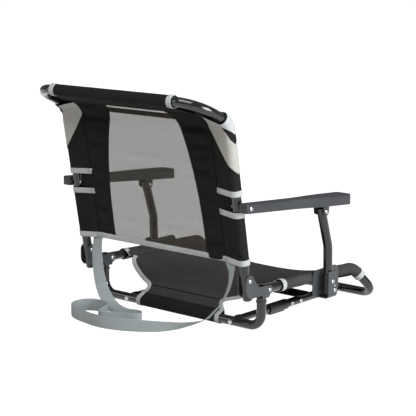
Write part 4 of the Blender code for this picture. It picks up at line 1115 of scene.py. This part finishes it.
def closed_ends(grid):
    """The grid with one more row at each end, drawn together to the row's middle."""
    first, last = (grid[k].mean(0)[None, None].repeat(grid.shape[1], 1) for k in (0, -1))
    return np.concatenate([first, grid, last])


HEM_LAP = 0.002           # past each side seam
hem_x = np.linspace(-PANEL_HALF - HEM_LAP, PANEL_HALF + HEM_LAP, 60)
hem_line = back_point(hem_x, S_HEM + TAPE_W / 2 - EDGE_OVER, SEAM_LAP / 2)
tape_edge("back_hem_tape", hem_line, at_x(0, up_back), TAPE_W, "back")
FRONT_HEM, FRONT_HEM_REAR = (0.098, 0.114), -0.0016     # down from the bar, and in front of the net
s_front = (S_BAR - np.linspace(*FRONT_HEM, 6))[:, None]
x_front = np.linspace(-1, 1, 30)[None, :] * net_half(s_front)
front_grid = back_point(x_front, s_front, FRONT_HEM_REAR)
front_hem = dress(thicken(surface("back_front_hem", front_grid, BLACK_CANVAS), CLOTH), "back", "black_cloth")

# %% [markdown]
# A pale patch reinforces each top corner.  It starts at the seam under the bar and runs out to the
# edge, round the upright and back on the front side.  It lies on the sleeve, so its points are found on
# the sleeve's own teardrop: a share of the way round, and a length along the upright.


# %% Corner patches
PATCH_LIFT, PATCH_T = 0.0008, 0.0008
SEAM_RAISE = 0.0026       # patch over the panel at their seam


def on_sleeve(side, share, s, lift):
    """Point on the upright's teardrop: share 0 is the rear seam, 1 the outer side, 2 the front seam.
    First comes the straight run to the tube, then the arc; the front half is the mirror image."""
    radius = SLEEVE_R + CLOTH / 2 + lift
    tail = corner_x(s) - PANEL_HALF
    touch = np.arccos(radius / tail)
    run = np.sqrt(tail ** 2 - radius ** 2)
    along = (1 - np.abs(1 - share)) * (run + radius * (math.pi - touch))
    angle = touch + np.clip(along - run, 0, None) / radius
    to_go = np.clip(1 - along / run, 0, 1)
    a = radius * np.cos(angle) + (tail - radius * np.cos(touch)) * to_go
    b = (radius * np.sin(angle) * (1 - to_go) + SEAM_RAISE * to_go) * np.where(share < 1, 1, -1)
    x = side * corner_x(s)
    return back_point(x, s) + np.array([-side, 0, 0]) * a[..., None] + back_normal(x, s) * b[..., None]


# Edges of the patch and of its hem, as lengths along the upright at shares round the sleeve.
SHARES = (0.0, 0.32, 0.60, 0.64, 0.70, 0.85, 1.0)
PATCH_LOW = (0.352, 0.315, 0.285, 0.281, 0.275, 0.263, 0.252)
PATCH_TOP = (0.393, 0.393, 0.391, 0.386, 0.358, 0.332, 0.320)
HEM_LOW = (0.376, 0.376, 0.378, 0.381, 0.376, 0.358, 0.342)
HEM_TOP = (0.396, 0.396, 0.394, 0.391, 0.389, 0.389, 0.389)


def corner_piece(name, side, low, high, cloth, lift):
    """Sheet between two edges on the sleeve, from its rear seam right round to its front seam."""
    share = np.linspace(0, 2, 121)[None, :]
    near = 1 - np.abs(1 - share)
    bottom, top = (np.interp(near, SHARES, edge) for edge in (low, high))
    s = bottom + (top - bottom) * np.linspace(0, 1, 40)[:, None]
    grid = on_sleeve(side, np.broadcast_to(share, s.shape), s, lift)
    return thicken(surface(name, grid, cloth), PATCH_T)


corner_pieces = []
for name, side in SIDES:
    patch = corner_piece(f"corner_patch_{name}", side, PATCH_LOW, PATCH_TOP, CORNER_CLOTH, PATCH_LIFT)
    hem = corner_piece(f"corner_hem_{name}", side, HEM_LOW, HEM_TOP, BINDING, 2 * PATCH_LIFT)
    corner_pieces += [dress(piece, "back", "mesh_cloth") for piece in (patch, hem)]
print("corner pieces:", len(corner_pieces))

# %% [markdown]
# ## Seat sling
# The seat is one length of coated mesh.  It hangs between the rails in a shallow hollow, narrows to a
# waist behind, and comes down to the rear floor bar.  Rows across the cloth are computed for the seat
# and for the flap alike, then smoothed along the cloth, so that it bends over softly at the back.

# %% Seat surface
SEAT_FROM = 0.066
SEAT_SEAM_IN, SEAT_LAP = 0.026, 0.001
SEAT_SAG, SAG_POWER = 0.033, 2.6
SEAT_LEG_DROP = 0.032
FLAP_TAIL = 0.0190
FLAP_WAIST = on_side(0.0215, 0.0505)
FLAP_WAIST_HALF, FLAP_WAIST_AT, FLAP_HALF, FLAP_SEAT_HALF = 0.117, 0.75, 0.130, 0.221
FLAP_DRAW = 1.2
rail_line = fillet(seat_corners[:3], [RAIL_BEND])
rail_from = SEAT_FROM - (RAIL_REAR[0] - REAR_BAR_Y)
leg_length = float(np.linalg.norm(seat_corners[2] - seat_corners[1]))
rail_to = travelled(rail_line)[-1] - leg_length + SEAT_LEG_DROP
k_seat = np.linspace(-1, 1, 61)


def seat_sag(k):
    """Drop at k across the seat, from -1 to 1: flat in the middle and steep at the rails."""
    return SEAT_SAG * (1 - np.abs(k) ** SAG_POWER)


def flap_half(t):
    """Half width down the flap: a power of the way in to the waist, then a parabola out to the bar."""
    to_waist, past_waist = flap_shares(t)
    draw_in = FLAP_SEAT_HALF + (FLAP_WAIST_HALF - FLAP_SEAT_HALF) * to_waist ** FLAP_DRAW
    return draw_in + (FLAP_HALF - FLAP_WAIST_HALF) * past_waist ** 2


def flap_shares(t):
    """How much of the way to the waist, and from there to the bar, is done at a share t of the flap."""
    return np.clip(t / FLAP_WAIST_AT, 0, 1), np.clip((t - FLAP_WAIST_AT) / (1 - FLAP_WAIST_AT), 0, 1)


seat_edge = stretch(rail_line, rail_to, rail_from, 90)
ahead = unit(np.gradient(seat_edge, axis=0))
inward = np.array([-1.0, 0, 0]) - ahead * (ahead @ np.array([-1.0, 0, 0]))[:, None]
seat_edge = seat_edge + unit(inward) * (SEAT_SEAM_IN + SEAT_LAP)
seat_rows = np.stack(np.broadcast_arrays(k_seat * seat_edge[:, :1], seat_edge[:, 1:2],
                                         seat_edge[:, 2:] - seat_sag(k_seat)), axis=2)
rear_edge = seat_edge[-1]
bar_middle = at_x(0, rear_bar)
waist = at_x(0, FLAP_WAIST)
rise = unit(waist - bar_middle)
t_flap = np.linspace(0, 1, 60)[1:, None]
x_flap = k_seat[None, :] * flap_half(t_flap)
flap_z = rear_edge[2] - seat_sag(x_flap / rear_edge[0])
flap_top = np.stack(np.broadcast_arrays(x_flap, rear_edge[1], flap_z), axis=2)
flap_seam = waist + x_flap[..., None] * (1, 0, 0)
to_seam, past_seam = (share[..., None] for share in flap_shares(t_flap))
flap_rows = flap_top + (flap_seam - flap_top) * to_seam + (bar_middle + rise * FLAP_TAIL - waist) * past_seam
seat_grid = np.concatenate([seat_rows, flap_rows])


def eased(grid, first, last, passes):
    """Rows first to last smoothed along the cloth: each point moves to the mean of its neighbours."""
    for _ in range(passes):
        grid[first:last] = (grid[first - 1:last - 1] + grid[first + 1:last + 1]) / 2
    return grid


SEAM_ROW = len(seat_rows) + round(FLAP_WAIST_AT * len(flap_rows)) - 1
EDGE_EASE, SEAM_EASE = (6, 10, 30), (6, 7, 12)        # rows before and after, and passes
for row, (before, after, passes) in ((len(seat_rows), EDGE_EASE), (SEAM_ROW, SEAM_EASE)):
    seat_grid = eased(seat_grid, row - before, row + after, passes)
seat_sheet = thicken(surface("seat_sling", seat_grid, SEAT_MESH), CLOTH)
dress(seat_sheet, "base", "seat_cloth", "seat_panel", "seat_rear_flap")
print("seat cloth", [round(c, 3) for c in seat_sheet.dimensions])

# %% Seat sleeves and their tape
SEAT_SLEEVE_TAIL, SEAT_RING_TAIL = SEAT_SEAM_IN + 0.003, 0.024
BAR_SLEEVE_R, BAR_SLEEVE_TAIL = 0.0120, FLAP_TAIL + 0.002
BAR_TAPE_R, BAR_TAPE_TAIL = 0.0114, FLAP_TAIL + 0.003
seat_line = stretch(rail_line, rail_from, rail_to, 110)
for name, side in SIDES:
    flip, to_middle = np.array([side, 1, 1]), (-side, 0, 0)
    piece = sleeve(f"seat_sleeve_{name}_sewn", seat_line * flip, to_middle, SEAT_SLEEVE_TAIL, SEAT_MESH,
                   seed=31 + side)
    dress(piece, "base", "seat_cloth", f"seat_sleeve_{name}")
    for where, begin in (("rear", rail_from - EDGE_OVER), ("front", rail_to - TAPE_W + EDGE_OVER)):
        line = stretch(rail_line, begin, begin + TAPE_W, 10) * flip
        tape_ring(f"seat_tape_{where}_{name}", line, to_middle, SEAT_RING_TAIL, "base")
bar_line = np.linspace(bar_middle - (FLAP_HALF, 0, 0), bar_middle + (FLAP_HALF, 0, 0), 60)
# Painted shade: the sleeve round the rear bar is the seat's own mesh cloth, but it is given the darker black
# canvas so that it reads as the shaded band where the cloth curves under the bar.
rear_sleeve = sleeve("seat_rear_sleeve_sewn", bar_line, rise, BAR_SLEEVE_TAIL, BLACK_CANVAS,
                     radius=BAR_SLEEVE_R, seed=41)
dress(rear_sleeve, "base", "seat_cloth", "seat_rear_sleeve")

# %% Tape along the cut-outs
EDGE_TAPE_W, EDGE_TAPE_T = 0.0105, 0.0040
EDGE_TAPE_IN = EDGE_TAPE_W * 0.3      # middle of the tape, inside the raw edge
CUT_ROW = 86                          # row of the seat's grid where the cut-outs start
for name, side in SIDES:
    column, beside = (-1, -4) if side > 0 else (0, 3)
    edge, inner = seat_grid[CUT_ROW:, column], seat_grid[CUT_ROW:, beside]
    done = travelled(edge)
    at = np.linspace(0, done[-1], 90)
    across = unit(inner - edge)
    across = np.stack([np.interp(at, done, across[:, k]) for k in range(3)], axis=1)
    line = stretch(edge, 0, done[-1], 90) + across * EDGE_TAPE_IN
    tape_edge(f"seat_edge_tape_{name}", line, across, EDGE_TAPE_W, "base", EDGE_TAPE_T)
    ends = bar_middle + side * np.array([[FLAP_HALF - EDGE_TAPE_W, 0, 0], [FLAP_HALF + EDGE_OVER, 0, 0]])
    tape_ring(f"seat_bar_tape_{name}", np.linspace(*ends, 8), rise, BAR_TAPE_TAIL, "base", radius=BAR_TAPE_R)

# %% [markdown]
# ## Carry strap
# A grey webbing strap is sewn to both ends of the back's hem.  It hangs down, folds once, lies in a loop
# on its edge behind the chair and comes up again.  Its route is a list of given points, with the
# direction of the webbing's width at each, and a smooth curve runs through them.

# %% Strap
STRAP_W, STRAP_T = 0.030, 0.0018
STRAP_SEWN = 0.0016        # below the hem's line, and behind it
FLOOR_EDGE_Z = STRAP_W / 2 + 0.0003
hem_y, hem_z = back_pivot + up_back * (S_HEM - STRAP_SEWN) - (REAR_BAR_Y, 0)
UP, LEAN = (0, 0, 1), (0, 0.8, 0.6)       # webbing on its edge, and leaning over
LEAN_Z = STRAP_W / 2 * LEAN[2] + STRAP_T
FLOOR_LOOP = ((0.000, -0.1345), (-0.008, -0.146), (-0.035, -0.160), (-0.065, -0.178), (-0.083, -0.186),
              (-0.097, -0.176), (-0.106, -0.150), (-0.117, -0.126), (-0.135, -0.114), (-0.165, -0.111),
              (-0.189, -0.124), (-0.198, -0.150), (-0.188, -0.177), (-0.163, -0.193), (-0.129, -0.203),
              (-0.065, -0.2115), (-0.005, -0.199))
STRAP_ROUTE = (
    ((-0.208, hem_y - STRAP_SEWN, hem_z + 0.009), (1, 0, 0)),
    ((-0.208, hem_y, hem_z), (1, 0, 0)),
    ((-0.208, hem_y - 0.003, hem_z - 0.020), (1, 0, 0)),
    ((-0.199, -0.077, 0.125), (1, 0.1, 0)),
    ((-0.187, -0.084, 0.085), (0.95, 0.3, 0.05)),
    ((-0.171, -0.088, 0.050), (0.8, 0.5, 0.25)),
    ((-0.147, -0.093, 0.026), (0.5, 0.65, 0.5)),
    ((-0.116, -0.102, 0.0140), (0.1, 0.8, 0.6)),
    ((-0.078, -0.110, LEAN_Z), LEAN),
    ((-0.040, -0.117, 0.0135), (0, 0.6, 0.8)),
    ((-0.012, -0.125, 0.0155), (0, 0.25, 0.97)),
    *(((x, y, FLOOR_EDGE_Z), UP) for x, y in FLOOR_LOOP),
    ((0.052, -0.171, FLOOR_EDGE_Z), (0.05, -0.2, 0.97)),
    ((0.083, -0.146, 0.0150), (0.2, -0.4, 0.85)),
    ((0.108, -0.109, 0.0145), (0.5, -0.5, 0.6)),
    ((0.132, -0.066, 0.021), (0.75, -0.5, 0.35)),
    ((0.150, -0.051, 0.040), (0.75, -0.55, 0.3)),
    ((0.168, -0.048, 0.062), (0.6, -0.7, 0.2)),
    ((0.195, -0.052, 0.104), (0.7, -0.65, 0)),
    ((0.210, -0.061, 0.140), (0.8, -0.5, 0)),
    ((0.212, hem_y + 0.001, hem_z - 0.014), (0.95, -0.25, 0)),
    ((0.212, hem_y, hem_z), (1, 0, 0)),
    ((0.212, hem_y - STRAP_SEWN, hem_z + 0.009), (1, 0, 0)),
)
strap_path = smooth_curve(np.array([point for point, _ in STRAP_ROUTE]) + (0, REAR_BAR_Y, 0), 8)
strap_wide = smooth_curve(np.array([wide for _, wide in STRAP_ROUTE], float), 8)
strap_grid = closed_ends(sweep(oval(STRAP_W, STRAP_T, 28), strap_path, strap_wide))
strap = surface("strap_webbing", strap_grid, WEBBING, wrap=True)
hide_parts("carry_strap")
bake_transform(strap)

# %% [markdown]
# ## Stitching
# Thread shows wherever two cloths meet: along the net, across the flap, on the corner patches, at the ends
# of the tapes and in a crossed box on each lower sleeve.  A stitch is a small spindle lying on the cloth,
# and a row of stitches follows a line of points with the cloth's outward direction at each.

# %% Stitch rows
STITCH, STITCH_GAP, THREAD_R = 0.0034, 0.0012, 0.0004
THREAD_UP = 0.0009        # thread line over the middle of the cloth


def stitches(name, path, outward, thread, body, slot):
    """Row of spindles: at a share t of a stitch its radius is the thread's times the root of sine(pi t),
    round the middle of the line."""
    done = travelled(path)
    count = max(2, round(done[-1] / (STITCH + STITCH_GAP)))
    t = np.linspace(0, 1, 7)
    at = (np.arange(count)[:, None] + 0.5) * done[-1] / count + (t - 0.5) * STITCH
    outward = np.broadcast_to(np.asarray(outward, float), path.shape)
    middle, up = (np.stack([np.interp(at, done, line[:, k]) for k in range(3)], axis=2)
                  for line in (path, outward))
    over = unit(np.cross(middle[:, -1:] - middle[:, :1], up))
    circle = ring(THREAD_R, 6)
    size = np.sqrt(np.abs(np.sin(math.pi * t)))[:, None, None]
    loops = middle[:, :, None] + size * (over[:, :, None] * circle[:, :1] + up[:, :, None] * circle[:, 1:])
    number = np.arange(loops.size // 3).reshape(loops.shape[:3])
    number = np.concatenate([number, number[..., :1]], axis=2)
    here, there = number[:, :-1], number[:, 1:]
    faces = np.stack([here[..., :-1], here[..., 1:], there[..., 1:], there[..., :-1]], axis=3)
    mesh = bpy.data.meshes.new(name)
    mesh.from_pydata(loops.reshape(-1, 3).tolist(), [], faces.reshape(-1, 4).tolist())
    return dress(place(name, mesh, thread), body, slot)


rearward = back_normal(0.0, S_ARM)
print("stitch", STITCH * 1000, "mm long")

# %% Seams of the back
NET_SEAMS = (0.0030, 0.0085)      # stitch rows, outboard of the net's edge
s_seam = np.linspace(S_HEM + TAPE_W, PANEL_END, 120)
for name, side in SIDES:
    rows = []
    for n, out in enumerate(NET_SEAMS):
        x = side * (net_half(s_seam) + out)
        line = back_point(x, s_seam, panel_rear(side, x, s_seam) + THREAD_UP)
        out_of = back_normal(x, s_seam)
        rows.append(stitches(f"net_seam_{name}_{n}", line, out_of, DARK_THREAD, "back", "black_cloth"))
    join(f"net_seam_{name}", rows)

OUT_STEP = 0.002          # when the direction out of a sleeve is measured


def sleeve_row(label, side, share, s, lift, thread, slot):
    """Stitches on an upright's sleeve, along shares round it and lengths up it."""
    share, s = np.broadcast_arrays(np.asarray(share, float), np.asarray(s, float))
    line = on_sleeve(side, share, s, lift)
    out = unit(on_sleeve(side, share, s, lift + OUT_STEP) - line + 1e-6 * rearward)
    return stitches(label, line, out, thread, "back", slot)


SEAM_W, SEAM_T = 0.0021, 0.0012
SEAM_UP = 0.0010          # middle of the drawn-in seam, over the middle of the cloth
SEAM_RUNS = {"lower": (S_HEM + TAPE_W, S_ARM - ARM_GAP_DOWN - TAPE_W),
             "upper": (S_ARM + ARM_GAP_UP + TAPE_W, SLEEVE_END)}


def seam_cord(name, path, across, body, slot):
    """Close-stitched seam: a thin flat oval of thread along its line."""
    grid = sweep(oval(SEAM_W, SEAM_T, 8), path, across)
    return dress(surface(name, grid, DARK_THREAD, wrap=True), body, slot)


for name, side in SIDES:
    for where, (low, high) in SEAM_RUNS.items():
        line = back_point(side * PANEL_HALF, np.linspace(low, high, 80), SEAM_UP)
        seam_cord(f"sleeve_seam_{where}_{name}", line, (1, 0, 0), "back", "black_cloth")

PATCH_ROWS, TAPE_ROWS = (0.04, 0.12, 0.20), (0.05, 0.11)    # shares round the sleeve
PATCH_ROW_LIFT, TAPE_ROW_LIFT, BOX_ROW_LIFT = PATCH_LIFT + 0.0006, 0.0022, 0.0012
PATCH_ROW_IN, TAPE_ROW_IN = 0.004, 0.001      # a row stops this far inside the edge
CROSS_BOX, CROSS_S = (0.30, 0.68), (0.063, 0.089)
for name, side in SIDES:
    rows = []
    for share in PATCH_ROWS:
        low, high = (np.interp(share, SHARES, edge) for edge in (PATCH_LOW, PATCH_TOP))
        run = np.linspace(low + PATCH_ROW_IN, high - PATCH_ROW_IN, 50)
        rows.append(sleeve_row(f"patch_row_{share}", side, share, run, PATCH_ROW_LIFT, PALE_THREAD,
                               "mesh_cloth"))
    join(f"patch_stitches_{name}", rows)
    rows = []
    for begin in TAPE_FROM.values():
        run = np.linspace(begin + TAPE_ROW_IN, begin + TAPE_W - TAPE_ROW_IN, 12)
        rows += [sleeve_row(f"tape_row_{begin}_{share}", side, share, run, TAPE_ROW_LIFT, DARK_THREAD,
                            "webbing") for share in TAPE_ROWS]
    join(f"tape_stitches_{name}", rows)
    (a, b), (low, high) = CROSS_BOX, CROSS_S
    corners = [((a, low), (b, low)), ((b, low), (b, high)), ((b, high), (a, high)), ((a, high), (a, low)),
               ((a, low), (b, high)), ((a, high), (b, low))]
    rows = []
    for n, (p, q) in enumerate(corners):
        share, run = (np.linspace(p[k], q[k], 24) for k in (0, 1))
        rows.append(sleeve_row(f"box_row_{n}", side, share, run, BOX_ROW_LIFT, DARK_THREAD, "black_cloth"))
    join(f"crossed_box_{name}", rows)
sewn = [o.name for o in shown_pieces() if any(word in o.name for word in ("seam", "stitches", "crossed_box"))]
print("stitched pieces on the back:", len(sewn))

# %% Bar tacks and the flap's cross seam
TACK_X, TACK_LIFT = (0.0045, 0.0095), 0.0023      # from the panel's outer seam, and over the panel
tack_from = TAPE_FROM["hem"]
tack_run = np.linspace(tack_from + TAPE_ROW_IN, tack_from + TAPE_W - TAPE_ROW_IN, 12)
for name, side in SIDES:
    rows = []
    for n, inboard in enumerate(TACK_X):
        line = back_point(side * (PANEL_HALF - inboard), tack_run, SEAM_LAP / 2 + TACK_LIFT)
        rows.append(stitches(f"tack_{n}", line, rearward, DARK_THREAD, "back", "webbing"))
    join(f"hem_tack_{name}", rows)
SEAM_INSET = 4                        # columns between the seam's ends and the cloth's edges
seam_line, seam_above, seam_below = (seat_grid[SEAM_ROW + k, SEAM_INSET:-SEAM_INSET] for k in (0, -2, 2))
seam_out = unit(np.cross(np.gradient(seam_line, axis=0), seam_above - seam_below))
seam_out = seam_out * np.sign(seam_out[:, 2:] + 1e-9)
seam_cord("flap_seam", seam_line + seam_out * SEAM_UP, seam_above - seam_below, "base", "seat_cloth")
